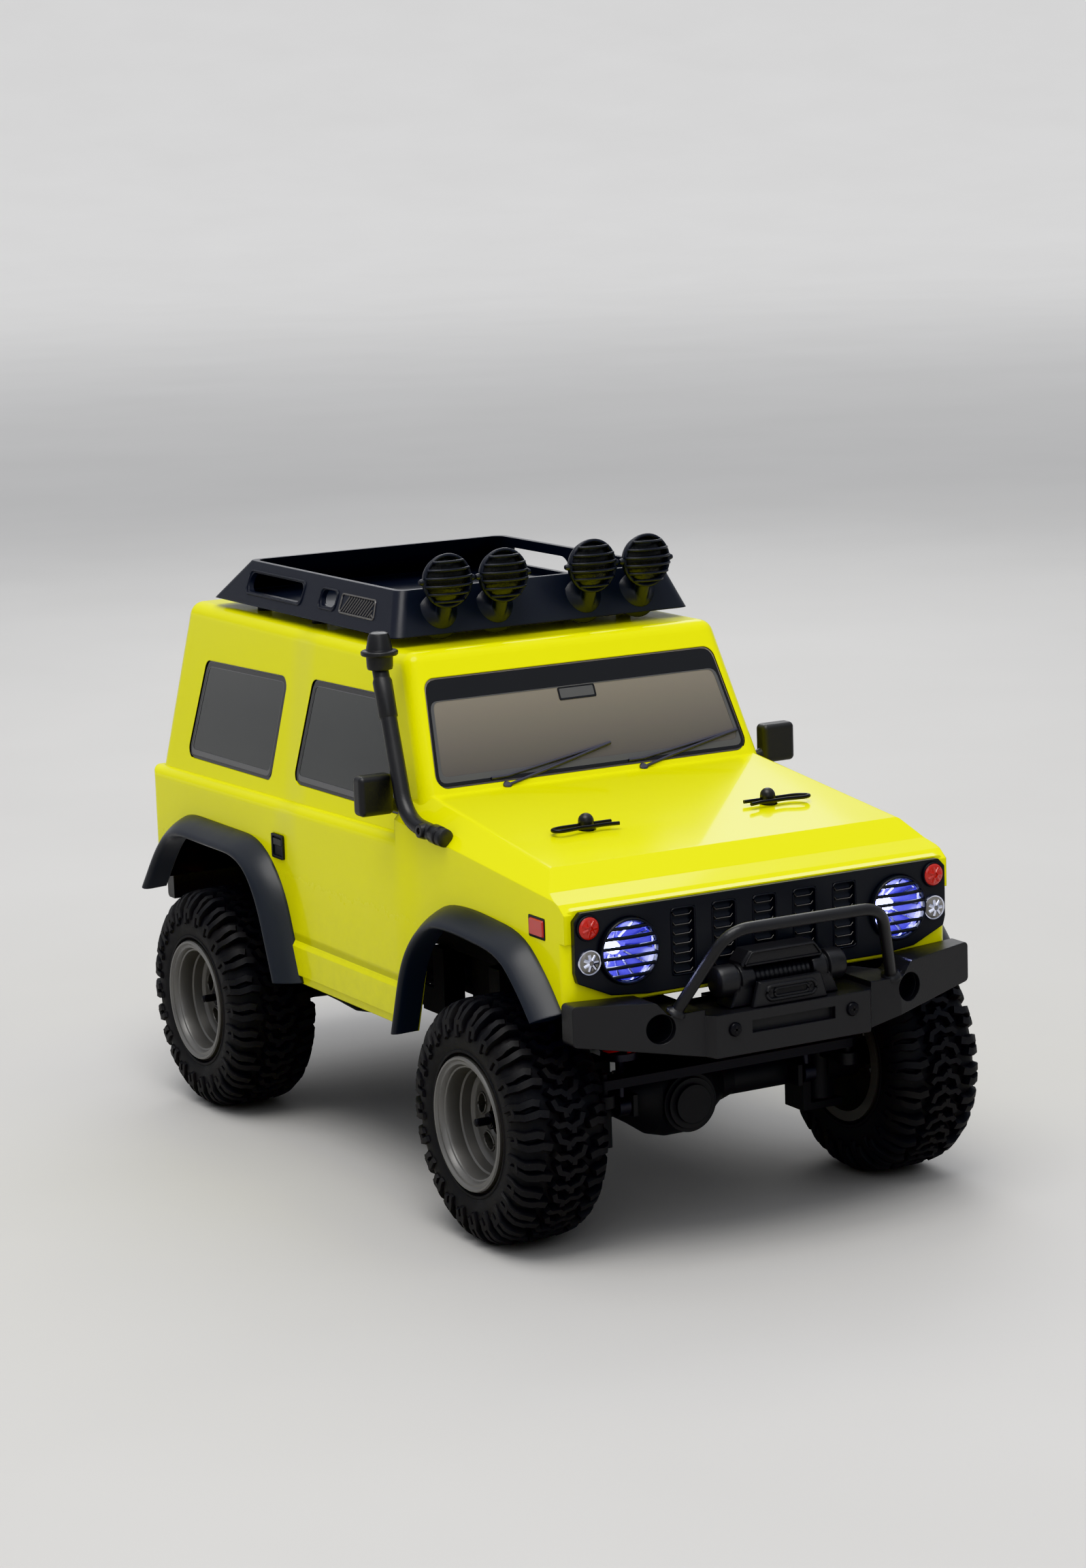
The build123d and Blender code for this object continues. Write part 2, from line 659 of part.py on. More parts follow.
def winch():
    """Small winch: two end drums, a cable drum, a cover plate and a fairlead."""
    with BuildPart() as made:
        block((119.6, -16, 60.65), (129, 16, 62.4))
        for side in (1, -1):
            rod((WINCH_X, side * 9.5, WINCH_Z), (WINCH_X, side * 18.4, WINCH_Z), 4.0)
            low, high = sorted((side * 9.6, side * 14))
            block((WINCH_X - 3.8, low, 62), (WINCH_X + 3.8, high, 66))
            low, high = sorted((side * 9.5, side * 11))
            block((WINCH_X - 3.5, low, 62), (WINCH_X + 3.5, high, 71.2))
        rod((WINCH_X, -9.6, WINCH_Z), (WINCH_X, 9.6, WINCH_Z), 2.5)
        front_prism([(-11, 71.0), (11, 71.0), (8.4, 74.0), (-8.4, 74.0)], WINCH_X - 3.6, WINCH_X + 3.6)
        front_prism([(-10.8, 60.65), (10.8, 60.65), (9.0, 67), (-9.0, 67)], 128.6, 130.6, round_r=0.8)
        with BuildSketch(cross_plane(128)) as slot:
            with Locations((0, 63.9)):
                SlotOverall(10.6, 2.4)
        extrude(slot.sketch, amount=6, mode=Mode.SUBTRACT)
    return made


def rear_bumper():
    """Plain bumper across the frame ends with a towing eye in its middle."""
    plan = [(-136.4, -30), (-136.4, 30), (-131, 50), (-126.4, 50), (-126.4, -50), (-131, -50)]
    with BuildPart() as made:
        with BuildSketch(Plane.XY.offset(49.5)) as outline:
            with BuildLine():
                Polyline(*plan, close=True)
            make_face()
        extrude(outline.sketch, amount=11.5)
        fillet(made.edges().filter_by(lambda e: e.center().X < -131 and abs(e.tangent_at(0.5).Z) < 0.1), 1.2)
        block((-127, -24, 50.5), (-118.6, 24, 56.4))
        block((-138.8, -3, 53.4), (-136, 3, 57.4))
        bore((-137.7, -4, 55.4), (-137.7, 4, 55.4), 0.7)
    return made


write(front_bumper(), "front_bumper")
write(rear_bumper(), "rear_bumper")
write(bull_bar(), "bull_bar")
write(winch(), "winch")


# ---------------------------------------------------------------- body


def greenhouse(inset):
    """Cab and rear cabin as one tapered block, shrunk by the inset."""
    low, high = 88.0, ROOF_Z - inset
    climb = (high - low) / (ROOF_Z - low)
    base = (-126.0 + inset, 46.6 - inset, 52.9 - inset)
    tip = (-113.4 + inset, 23.4 - inset, 46.7 - inset)
    top = [b + (t - b) * climb for b, t in zip(base, tip)]
    with BuildPart() as made:
        for z, (rear, front, half) in ((low, base), (high, top)):
            with BuildSketch(Plane.XY.offset(z)):
                with Locations(((rear + front) / 2, 0)):
                    Rectangle(front - rear, 2 * half)
        loft()
        upper = made.faces().sort_by(Axis.Z)[-1].edges()
        pillars = made.edges().filter_by(lambda e: abs(e.tangent_at(0.5).Z) > 0.8)
        fillet(list(upper) + list(pillars), 4.2 - inset)
    return made


def bonnet(inset):
    """Bonnet block, whose long edges are planed off down to the wings."""
    outline = [
        (NOSE_X - inset, 80), (NOSE_X - inset, 87.2 - inset), (114.5 - inset, 89.4 - inset),
        (109 - inset, 91.4 - inset), (103 - inset, 96.2 - inset), (38, 104.4 - inset), (30, 104.4 - inset), (30, 80),
    ]
    half = BODY_HALF - inset
    slope = Vector(0.5, 6.0, 5.4).normalized()  # outward normal of the planed edge on the left
    with BuildPart() as made:
        prism(outline, -half, half)
        for side in (1, -1):
            normal = Vector(slope.X, side * slope.Y, slope.Z)
            corner = Vector(103, side * 51.0, 95.9) - normal * inset
            split(bisect_by=Plane(tuple(corner), z_dir=tuple(normal)), keep=Keep.BOTTOM)
        long_edges = made.edges().filter_by(lambda e: e.length > 50 and e.center().Z > 95 - inset)
        fillet(long_edges.filter_by(lambda e: abs(e.center().Y) > 40 and e.center().X < 100), 1.6 - inset)
    return made


def lower_body(inset):
    """Tub from the sills to the belt line; the hollow one runs on down past the sills."""
    half = BODY_HALF - inset
    top = [
        (NOSE_X - inset, 88.2 - inset), (103, 91.4 - inset), (38, 93.6 - inset),
        (BODY_REAR + inset, 90.4 - inset),
    ]
    arches = [
        (BODY_REAR, 57), (-121, 56), (-109, 70), (-99, 75.5), (-54, 75.5), (-44, 67), (-34.5, SILL_Z), (37, SILL_Z),
        (44.5, 65.5), (57, 75.8), (95, 75.8), (104, 68.5), (110.5, 61), (NOSE_X, 64.6),
    ]
    if inset:
        arches = [(BODY_REAR + inset, 30), (NOSE_X - inset, 30)]
    with BuildPart() as made:
        prism(top + arches, -half, half)
        corners = made.edges().filter_by(Axis.Z).filter_by(lambda e: e.center().X > 100 or e.center().X < -100)
        edges = made.edges().filter_by(lambda e: abs(e.center().Y) > half - 0.1 and e.center().Z > 88.3 - inset)
        fillet(corners + edges.filter_by(lambda e: abs(e.tangent_at(0.5).X) > 0.9), 3.0 - inset)
    return made


def hull(inset):
    with BuildPart() as made:
        add(lower_body(inset).part)
        add(bonnet(inset).part)
        add(greenhouse(inset).part)
    return made


def window_holes(gap):
    """All window openings as prisms, made smaller by the gap."""
    g = gap
    with BuildPart() as made:
        screen = [(-47.2 + g, 105.4 + g), (47.2 - g, 105.4 + g), (43.6 - g, 132.4 - g), (-43.6 + g, 132.4 - g)]
        front_prism(screen, 18, 55, round_r=3.2)
        rear = [(-38 + g, 98 + g), (38 - g, 98 + g), (35 - g, 128 - g), (-35 + g, 128 - g)]
        front_prism(rear, -130, -110, round_r=3.2)
        quarter = [(-107.4 + g, 95 + g), (-51.6 - g, 95.6 + g), (-44.6 - g, 125.2 - g), (-98 + g, 123.8 - g)]
        door = [(-37.6 + g, 97 + g), (30.4 - g, 97.6 + g), (16 - g, 127.4 - g), (-29.4 + g, 126.4 - g)]
        for side in (1, -1):
            low, high = sorted((side * 40, side * 60))
            prism(quarter, low, high, round_r=3.0)
            prism(door, low, high, round_r=3.0)
    return made


def body_shell():
    """Thin moulded shell, open underneath, with its windows cut through."""
    with BuildPart() as made:
        add(hull(0).part)
        add(hull(SKIN).part, mode=Mode.SUBTRACT)
        add(window_holes(0).part, mode=Mode.SUBTRACT)
        for side in (1, -1):
            bore((POST_X, side * POST_Y, 90), (POST_X, side * POST_Y, 110), 2.5)
        for y in GRILLE_SLOTS:
            block((112, y - 3.3, 69), (120, y + 3.3, 85.5), Mode.SUBTRACT)
        for side in (1, -1):
            bore((112, side * 39, 77), (120, side * 39, 77), 7.4)
    return made


def window_glazing():
    with BuildPart() as made:
        add(greenhouse(0.35).part)
        add(greenhouse(1.15).part, mode=Mode.SUBTRACT)
        add(window_holes(0.06).part, mode=Mode.INTERSECT)
    return made


GRILLE_SLOTS = (-23.4, -11.7, 0.0, 11.7, 23.4)


def grille_panel():
    """Dark front panel with five upright slots and the lamp holes."""
    face = [
        (-53.0, 70.6), (-44, 66.6), (-34, 65.6), (34, 65.6), (44, 66.6), (53.0, 70.6), (53.7, 73), (53.7, 85.8),
        (51.8, 87.8), (-51.8, 87.8), (-53.7, 85.8), (-53.7, 73),
    ]
    with BuildPart() as made:
        front_prism(face, PANEL_BACK, GRILLE_X, round_r=0.8)
        for y in GRILLE_SLOTS:
            block((115, y - 3.3, 69), (121, y + 3.3, 85.5), Mode.SUBTRACT)
        for side in (1, -1):
            bore((112, side * 39, 77), (120, side * 39, 77), 8.3)
            bore((112, side * 50, 84.0), (120, side * 50, 84.0), 2.95)
            bore((112, side * 50, 75.6), (120, side * 50, 75.6), 2.95)
    return made


def front_lamps():
    """Headlamps whose bowls reach back through the nose, and four small lamps."""
    with BuildPart() as made:
        for side in (1, -1):
            rod((PANEL_BACK, side * 39, 77), (GRILLE_X + 1.6, side * 39, 77), 8.22)
            rod((GRILLE_X - 8, side * 39, 77), (PANEL_BACK + 0.1, side * 39, 77), 7.3)
            rod((PANEL_BACK, side * 50, 84.0), (GRILLE_X + 0.9, side * 50, 84.0), 2.88)
            rod((PANEL_BACK, side * 50, 75.6), (GRILLE_X + 0.9, side * 50, 75.6), 2.88)
    return made


def fender_flares():
    """Four wide arch flares, each a bent band round its wheel opening."""
    front_out = [(31.5, 43.2), (39.5, 67.5), (54, 79.6), (70, 81.4), (97, 79.6), (108, 71), (115.2, 63)]
    front_in = [(110.6, 60.6), (104.2, 67.4), (95, 74.8), (70, 76.2), (57.4, 75.2), (45.2, 65), (37.6, 43.2)]
    rear_out = [(-126.6, 57), (-112.4, 73.6), (-101, 80.0), (-52, 80.0), (-38.4, 69), (-28.6, 43.2)]
    rear_in = [(-34.8, 43.2), (-44.2, 66.4), (-54.4, 75.0), (-98.6, 75.0), (-108.2, 69.4), (-120.6, 55.0)]
    with BuildPart() as made:
        for side in (1, -1):
            low, high = sorted((side * (BODY_HALF + 0.02), side * 62.4))
            for band in (front_out + front_in, rear_out + rear_in):
                prism(band, low, high, round_r=0.6)
    return made


def mirrors():
    with BuildPart() as made:
        for side in (1, -1):
            low, high = sorted((side * 56.2, side * 66.0))
            block((27.5, low, 99.5), (32.5, high, 110.0))
        fillet(made.edges(), 1.4)
        for side in (1, -1):
            rod((30, side * 52.4, 100.4), (30, side * 58, 102.5), 1.6)
        add(hull(0).part, mode=Mode.SUBTRACT)
    return made


def snorkel():
    """Raised air intake on the right, from the wing up beside the screen pillar."""
    base, elbow, top = (58, -55.8, 97.0), (40.5, -57.4, 99.0), (23.0, -54.2, 136.0)
    with BuildPart() as made:
        rod(base, elbow, 2.3)
        rod(elbow, top, 2.2)
        for point in (base, elbow):
            with Locations(point):
                Sphere(2.3)
        rod(top, (23.0, -54.2, 140.0), 3.4)
        rod((23.0, -54.2, 138.6), (23.0, -54.2, 140.4), 4.85)
        with BuildSketch(Plane((23.0, -54.2, 140.2))) as wide:
            Circle(3.4)
        extrude(wide.sketch, amount=5.2, taper=10)
        block((52, -56.4, 94.6), (60, -52, 99.2))
        block((44, -57.0, 95.6), (50, -50, 98.2))
        add(hull(0).part, mode=Mode.SUBTRACT)
    return made


write(body_shell(), "body_shell")
write(window_glazing(), "window_glazing")
write(grille_panel(), "grille_panel")
write(front_lamps(), "front_lamps")
write(fender_flares(), "fender_flares")
write(mirrors(), "mirrors")
write(snorkel(), "snorkel")


# ---------------------------------------------------------------- roof

RACK_LOW = (-100.0, 14.0, 45.0)  # rear, front and half width at the floor
RACK_HIGH = (-83.0, 8.5, 40.6)
RIM_Z = 153.5
RACK_WALL = 1.6


def basket(inset, floor):
    """Tapered basket block from the floor height up to the rim."""
    with BuildPart() as made:
        for z, (rear, front, half) in ((floor, RACK_LOW), (RIM_Z, RACK_HIGH)):
            with BuildSketch(Plane.XY.offset(z)) as outline:
                with Locations(((rear + front) / 2, 0)):
                    Rectangle(front - rear - 2 * inset, 2 * (half - inset))
                fillet(outline.vertices(), 3.0)
        loft()
    return made


def rack_hollow():
    """Space inside the basket, above its floor."""
    with BuildPart() as made:
        add(basket(RACK_WALL, RACK_Z).part)
        block((-130, -60, 130), (60, 60, RACK_Z + 1.4), Mode.SUBTRACT)
    return made


def roof_rack():
    """Open basket with pierced sides, standing on short feet."""
    with BuildPart() as made:
        add(basket(0, RACK_Z).part)
        add(rack_hollow().part, mode=Mode.SUBTRACT)
        block((-110, -60, RIM_Z - 0.3), (40, 60, RIM_Z + 5), Mode.SUBTRACT)
        with BuildSketch(side_plane(60)) as slots:
            with Locations((-62, 147.6)):
                SlotOverall(34, 5.2)
            with Locations((-29, 147.8)):
                SlotOverall(9, 4.2)
        extrude(slots.sketch, amount=120, mode=Mode.SUBTRACT)
        for x in (-80, -45, -10):
            for side in (1, -1):
                rod((x, side * 38, ROOF_Z + 0.02), (x, side * 38, RACK_Z + 0.5), 2.0)
    return made


LAMP_BACK = 10.9
LAMP_Z = 155.8
LAMP_Y = (-30.2, -13.5, 13.5, 30.2)


def roof_lamps():
    """Row of four round lamps, each on a stalk off the basket's front wall."""
    bowl = [(0, 0), (0, 3.6), (1.6, 5.8), (3.6, 7.1), (7.4, 7.1), (7.4, 6.2), (9.0, 5.0), (9.6, 2.4), (9.6, 0)]
    with BuildPart() as made:
        for y in LAMP_Y:
            with BuildSketch(side_plane(y)) as profile:
                with BuildLine():
                    Polyline(*[(LAMP_BACK + along, LAMP_Z + radius) for along, radius in bowl], close=True)
                make_face()
            revolve(profile.sketch, axis=Axis((0, y, LAMP_Z), (1, 0, 0)))
            block((LAMP_BACK + 2.8, y - 2.6, 143.2), (LAMP_BACK + 5.6, y + 2.6, 149.6))
    return made


write(roof_rack(), "roof_rack")
write(roof_lamps(), "roof_lamps")
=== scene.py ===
"""Looks of a small radio-controlled rock crawler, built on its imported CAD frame.

Frame: +X forward, +Y to the driver's left, +Z up. Lengths of the car are in millimetres, and MM turns them into
Blender's metres. The lights, the camera and the floor's glow are placed in metres.
"""

import math

import bmesh
import bpy
from mathutils import Matrix, Vector


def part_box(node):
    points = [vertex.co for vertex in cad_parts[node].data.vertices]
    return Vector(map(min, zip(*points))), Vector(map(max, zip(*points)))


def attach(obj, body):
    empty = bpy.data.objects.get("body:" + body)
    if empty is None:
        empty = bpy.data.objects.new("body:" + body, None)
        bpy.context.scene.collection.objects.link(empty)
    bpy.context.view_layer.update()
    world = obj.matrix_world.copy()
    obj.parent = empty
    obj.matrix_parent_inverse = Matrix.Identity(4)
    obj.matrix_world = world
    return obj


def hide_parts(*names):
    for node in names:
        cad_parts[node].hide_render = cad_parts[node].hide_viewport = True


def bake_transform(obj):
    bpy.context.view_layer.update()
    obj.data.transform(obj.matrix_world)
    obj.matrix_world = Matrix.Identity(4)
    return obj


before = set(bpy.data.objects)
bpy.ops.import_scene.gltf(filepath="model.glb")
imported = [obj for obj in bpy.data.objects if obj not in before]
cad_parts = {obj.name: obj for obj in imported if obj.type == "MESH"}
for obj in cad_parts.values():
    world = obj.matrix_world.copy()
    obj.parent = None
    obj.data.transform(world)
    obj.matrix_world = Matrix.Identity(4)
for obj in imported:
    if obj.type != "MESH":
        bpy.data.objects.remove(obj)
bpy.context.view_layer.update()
MM = 0.001
SIDES = {"left": 1, "right": -1}
CORNERS = [f"{end}_{side}" for end in ("front", "rear") for side in SIDES]
ORIGIN = (0, 0, 0)
AHEAD, LEFT, UP = (1, 0, 0), (0, 1, 0), (0, 0, 1)


# ---------------------------------------------------------------- shader graphs


class Graph:
    """Writer of one node tree. Methods give a node's output, and take outputs or plain values."""

    def __init__(self, owner, shader="Principled BSDF"):
        owner.use_nodes = True
        self.owner = owner
        self.tree = owner.node_tree
        self.shader = self.tree.nodes[shader]
        self.place = self.node("TexCoord", out="Object")

    def feed(self, socket, value):
        """Links an output to a socket or sets the socket; a colour may leave out its alpha."""
        if isinstance(value, bpy.types.NodeSocket):
            self.tree.links.new(value, socket)
        else:
            socket.default_value = (*value, 1) if socket.type == "RGBA" and len(value) == 3 else value

    def node(self, kind, *fed, out=0, **values):
        """New node: its first inputs in order, then settings or inputs by name (_ for a space)."""
        new = self.tree.nodes.new("ShaderNode" + kind)
        for key, value in values.items():
            socket = new.inputs.get(key.replace("_", " "))
            if socket is None:
                setattr(new, key, value)
            else:
                self.feed(socket, value)
        for socket, value in zip(new.inputs, fed):
            self.feed(socket, value)
        return new.outputs[out]

    def axis(self, letter):
        return self.node("SeparateXYZ", self.place, out=letter)

    def noise(self, size, **values):
        """Noise with features of about size millimetres."""
        return self.node("TexNoise", Vector=self.place, Scale=1 / (size * MM), **values)

    def remap(self, value, start, end, low=0.0, high=1.0, ease="LINEAR"):
        """Stretches start..end onto low..high and stops there."""
        return self.node("MapRange", value, start, end, low, high, interpolation_type=ease)

    def mix(self, share, first, second):
        """Colour that goes from first to second as share goes from 0 to 1."""
        colour_factor, colour_a, colour_b, colour_result = 0, 6, 7, 2
        new = self.tree.nodes.new("ShaderNodeMix")
        new.data_type = "RGBA"
        for index, value in ((colour_factor, share), (colour_a, first), (colour_b, second)):
            self.feed(new.inputs[index], value)
        return new.outputs[colour_result]

    def finish(self, **values):
        """Feeds the shader's own inputs and gives the finished material or world."""
        for key, value in values.items():
            self.feed(self.shader.inputs[key.replace("_", " ")], value)
        return self.owner


def material_graph(name):
    return Graph(bpy.data.materials.new(name))


# ---------------------------------------------------------------- materials


def textured(name, colour, rough, grain=0.4, depth=0.02, mottle=0.05, edge=0.0, **values):
    """Solid material with a fine grain in millimetres, mottled colour and roughness, and rounded-off edges."""
    g = material_graph(name)
    fine, broad = g.noise(grain, Detail=3.0), g.noise(14, Detail=4.0)
    dark = [channel * (1 - 3 * mottle) for channel in colour]
    bump = {"Strength": 0.5, "Distance": depth * MM, "Height": fine}
    if edge:
        bump["Normal"] = g.node("Bevel", samples=4, Radius=edge * MM)
    return g.finish(
        Base_Color=g.mix(broad, dark, colour),
        Roughness=g.remap(broad, 0.3, 0.7, max(0.02, rough - mottle), min(1.0, rough + mottle)),
        Normal=g.node("Bump", **bump),
        **values,
    )


def yellow_shell():
    """Clear plastic painted on its inner face: gloss over lemon yellow, black within, and painted shade low down,
    a darker olive in noisy patches that are also rougher, as if dusty.
    """
    g = material_graph("yellow_shell")
    height = g.axis("Z")
    # Painted shade: towards the bottom the yellow turns darker olive in noisy patches, which are also made
    # rougher, as if dusty.
    low_shade = g.remap(height, 78 * MM, 42 * MM, 0, 0.5)
    patchy_share = g.node("Math", low_shade, g.noise(3, Detail=6.0, Roughness=0.7), operation="MULTIPLY")
    outside_colour = g.mix(patchy_share, (0.82, 0.80, 0.002), (0.42, 0.40, 0.05))
    # A face is on the outside where it looks away from a spot in the middle of the cabin.
    from_middle = g.node("VectorMath", g.place, (0, 0, 62 * MM), operation="SUBTRACT")
    normal = g.node("TexCoord", out="Normal")
    facing = g.node("VectorMath", from_middle, normal, operation="DOT_PRODUCT", out="Value")
    outside = g.node("Math", facing, 0.0, operation="GREATER_THAN")
    # A soft fold runs along the door, a little above its lower edge.
    fold = g.remap(height, 54 * MM, 57 * MM, ease="SMOOTHSTEP")
    along_door = g.remap(g.node("Math", g.axis("X"), operation="ABSOLUTE"), 44 * MM, 28 * MM, ease="SMOOTHSTEP")
    crease = g.node("Math", fold, along_door, operation="MULTIPLY")
    rounded = g.node("Bevel", samples=4, Radius=0.5 * MM)
    ripple = g.node("Bump", Strength=0.35, Distance=0.12 * MM, Height=g.noise(9, Detail=2.0), Normal=rounded)
    return g.finish(
        Base_Color=g.mix(outside, (0.014, 0.014, 0.014), outside_colour),
        Normal=g.node("Bump", Strength=1.0, Distance=1.3 * MM, Height=crease, Normal=ripple),
        Roughness=g.remap(patchy_share, 0, 1, 0.26, 0.6),
        Specular_IOR_Level=0.15,
        Coat_Weight=0.4,
        Coat_Roughness=0.05,
    )


def see_through(g, tint, clear, rough, colour):
    """Tinted pane: a share of the light passes, the rest meets a glossy dark surface."""
    smear = g.remap(g.noise(16, Detail=3.0), 0, 1, rough, rough + 0.12)
    pane = g.finish(Base_Color=colour, Roughness=smear, Coat_Weight=1.0, Coat_Roughness=0.04)
    passing = g.node("BsdfTransparent", tint)
    surface = g.node("MixShader", clear, g.shader.outputs["BSDF"], passing)
    g.feed(g.tree.nodes["Material Output"].inputs["Surface"], surface)
    return pane


def smoked_pane():
    """Smoked glazing with light and shade painted in: the windscreen lighter at its top as a painted reflection
    and deepening downwards, and near-black painted shade at the sides.
    """
    g = material_graph("smoked_pane")
    # Painted reflection: the windscreen is lighter towards its top; panes that face sideways turn near-black,
    # painted shade.
    painted_reflection = g.mix(g.remap(g.axis("Z"), 104 * MM, 130 * MM), (0.085, 0.078, 0.082), (0.30, 0.265, 0.215))
    looks_ahead = g.node("SeparateXYZ", g.node("TexCoord", out="Normal"), out="X")
    colour = g.mix(g.remap(looks_ahead, 0.3, 0.5), (0.024, 0.027, 0.027), painted_reflection)
    return see_through(g, (0.6, 0.58, 0.55), 0.14, 0.1, colour)


def lit(name, colour, strength, base=(1, 1, 1)):
    """Glowing lamp part with a slightly uneven brightness."""
    g = material_graph(name)
    power = g.remap(g.noise(1.5), 0, 1, strength * 0.6, strength * 1.4)
    return g.finish(Base_Color=base, Emission_Color=colour, Emission_Strength=power, Roughness=0.2)


def dusty_rubber():
    """Tyre rubber: near-black with pale dusty patches in the hollows and on the sidewall."""
    g = material_graph("dusty_rubber")
    patches = g.noise(7, Detail=6.0, Roughness=0.65)
    specks = g.node("TexVoronoi", Vector=g.place, Scale=1 / (1.6 * MM), out="Distance")
    patchy_share = g.remap(patches, 0.45, 0.8, 0, 0.35)
    dots = g.remap(specks, 0.1, 0.06, 0, 0.5)
    pale = g.node("Math", patchy_share, dots, operation="MAXIMUM")
    return g.finish(
        Base_Color=g.mix(pale, (0.010, 0.010, 0.011), (0.055, 0.052, 0.047)),
        Roughness=g.remap(patches, 0, 1, 0.42, 0.8),
        Normal=g.node("Bump", Strength=0.4, Distance=0.06 * MM, Height=g.noise(0.5, Detail=2.0)),
    )


YELLOW = yellow_shell()
BLACK = textured("moulded_black", (0.034, 0.034, 0.035), 0.36, grain=0.5, depth=0.05, mottle=0.08, edge=0.45)
FLARE = textured("flare_black", (0.030, 0.033, 0.040), 0.36, grain=0.35, edge=0.5)
RACK = textured("rack_black", (0.022, 0.024, 0.032), 0.35, depth=0.03, mottle=0.06, edge=0.5)
CHASSIS = textured("chassis_black", (0.022, 0.022, 0.023), 0.5, grain=0.5, depth=0.06, mottle=0.08, edge=0.3)
PANEL = textured("panel_black", (0.016, 0.017, 0.02), 0.38, grain=0.3, edge=0.5)
STEEL_BLACK = textured("black_steel", (0.03, 0.03, 0.032), 0.34, grain=0.6, mottle=0.06, Metallic=0.6)
LINK_STEEL = textured("link_steel", (0.075, 0.075, 0.08), 0.38, grain=0.3, mottle=0.08, Metallic=1.0)
MOTOR_CAN = textured("motor_can", (0.42, 0.42, 0.44), 0.3, mottle=0.06, Metallic=1.0)
SHOCK = textured("shock_metal", (0.06, 0.06, 0.065), 0.34, Metallic=0.9)
RIM_GREY = textured("rim_grey", (0.175, 0.172, 0.165), 0.36, mottle=0.06, Metallic=0.35)
# Painted highlight: light grey for the light caught on the lower edges of the black louvres and on the ribs and
# frame of the rack's hatching.
GLINT_GREY = textured("painted_glint_grey", (0.13, 0.125, 0.12), 0.3)
HUB_BLACK = textured("hub_black", (0.012, 0.012, 0.013), 0.3)
SPRING_RED = textured("spring_red", (0.55, 0.012, 0.012), 0.35, mottle=0.08)
WRAP = textured("battery_wrap", (0.03, 0.05, 0.13), 0.3, grain=2.0, depth=0.1, mottle=0.06)
RUBBER = dusty_rubber()
SMOKED = smoked_pane()
SMOKED_LENS = textured("dark_lens", (0.012, 0.012, 0.012), 0.3, grain=1.0, depth=0.3, mottle=0.08)
CLEAR = see_through(material_graph("clear_lens"), (0.93, 0.95, 1.0), 0.86, 0.05, (0.3, 0.3, 0.32))
BAND = textured("pane_band", (0.008, 0.008, 0.009), 0.2, grain=1.0, depth=0.01, Coat_Weight=0.6)
BORDER = textured("pane_border", (0.11, 0.11, 0.115), 0.32, grain=1.0, depth=0.01, Coat_Weight=0.4)
CHROME = textured("chrome_bowl", (0.75, 0.78, 0.92), 0.08, grain=1.2, depth=0.1, mottle=0.03, Metallic=1.0)
GLOW = lit("lamp_glow", (0.74, 0.78, 1.0), 34.0)
BOWL_GLOW = lit("bowl_glow", (0.09, 0.10, 0.9), 0.3, base=(0.05, 0.055, 0.22))
RED_LENS = textured("red_lens", (0.62, 0.03, 0.02), 0.18, grain=1.1, depth=0.25, mottle=0.12, Coat_Weight=0.7)
WHITE_LENS = textured("white_lens", (0.22, 0.21, 0.19), 0.15, grain=1.3, depth=0.5, mottle=0.12, Coat_Weight=0.8)
AMBER_LENS = textured("amber_lens", (0.75, 0.22, 0.01), 0.2, grain=1.1, depth=0.2, mottle=0.1, Coat_Weight=0.7)
WIPER = textured("wiper_print", (0.07, 0.07, 0.10), 0.35, grain=0.6, depth=0.01)


# Finish of each CAD node that has one of the words in its name
FINISH = {
    YELLOW: "body_shell",
    SMOKED: "window_glazing",
    BLACK: "bumper mirrors body_posts servo",
    RACK: "roof_rack",
    PANEL: "grille_panel",
    CHASSIS: "chassis_rails skid gearbox electronics axle_housing diff_cover knuckle driveshaft link_brackets",
    STEEL_BLACK: "tie_rod body_clip axle_shaft",
    LINK_STEEL: "upper_link lower_link",
    MOTOR_CAN: "motor",
    WRAP: "battery_pack",
    SHOCK: "shock_bodies shock_rod",
}
for node_name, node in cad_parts.items():
    for finish, words in FINISH.items():
        if any(word in node_name for word in words.split()):
            node.data.materials.clear()
            node.data.materials.append(finish)


# ---------------------------------------------------------------- mesh helpers


def mesh_from(name, bm, inwards=False):
    """Mesh of a bmesh, its faces looking outwards or, for a room around the scene, inwards."""
    bmesh.ops.remove_doubles(bm, verts=bm.verts, dist=1e-7)
    bmesh.ops.recalc_face_normals(bm, faces=bm.faces)
    if inwards:
        bmesh.ops.reverse_faces(bm, faces=bm.faces)
    mesh = bpy.data.meshes.new(name)
    bm.to_mesh(mesh)
    bm.free()
    return mesh


def shaded(mesh, material, smooth=180):
    """Gives a mesh its material; edges sharper than smooth degrees stay sharp."""
    mesh.shade_smooth()
    mesh.set_sharp_from_angle(angle=math.radians(smooth))
    mesh.materials.clear()
    mesh.materials.append(material)
    return mesh


def show(name, data):
    obj = bpy.data.objects.new(name, data)
    bpy.context.scene.collection.objects.link(obj)
    return obj


def put(name, bm, material, slot="frame_plastic", body="chassis", smooth=35, hides=()):
    """Turns a bmesh into a finished piece that rides on a body."""
    obj = show(name, shaded(mesh_from(name, bm), material, smooth))
    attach(obj, body)
    if hides:
        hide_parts(*hides)


def lathe(bm, profile, origin, axis, segments=48):
    """Revolves (distance along axis, radius) points about an axis through origin."""
    turn = Vector(AHEAD).rotation_difference(Vector(axis)).to_matrix()
    rings = []
    for along, radius in profile:
        spots = [turn @ Vector((along, *point)) for point in circle(segments if radius else 1, radius)]
        rings.append([bm.verts.new((spot + Vector(origin)) * MM) for spot in spots])
    for first, second in zip(rings, rings[1:]):
        for i in range(segments):
            j = (i + 1) % segments
            around = [(first, i), (first, j), (second, j), (second, i)]
            unique = list(dict.fromkeys(ring[k % len(ring)] for ring, k in around))
            if len(unique) > 2:
                bm.faces.new(unique)


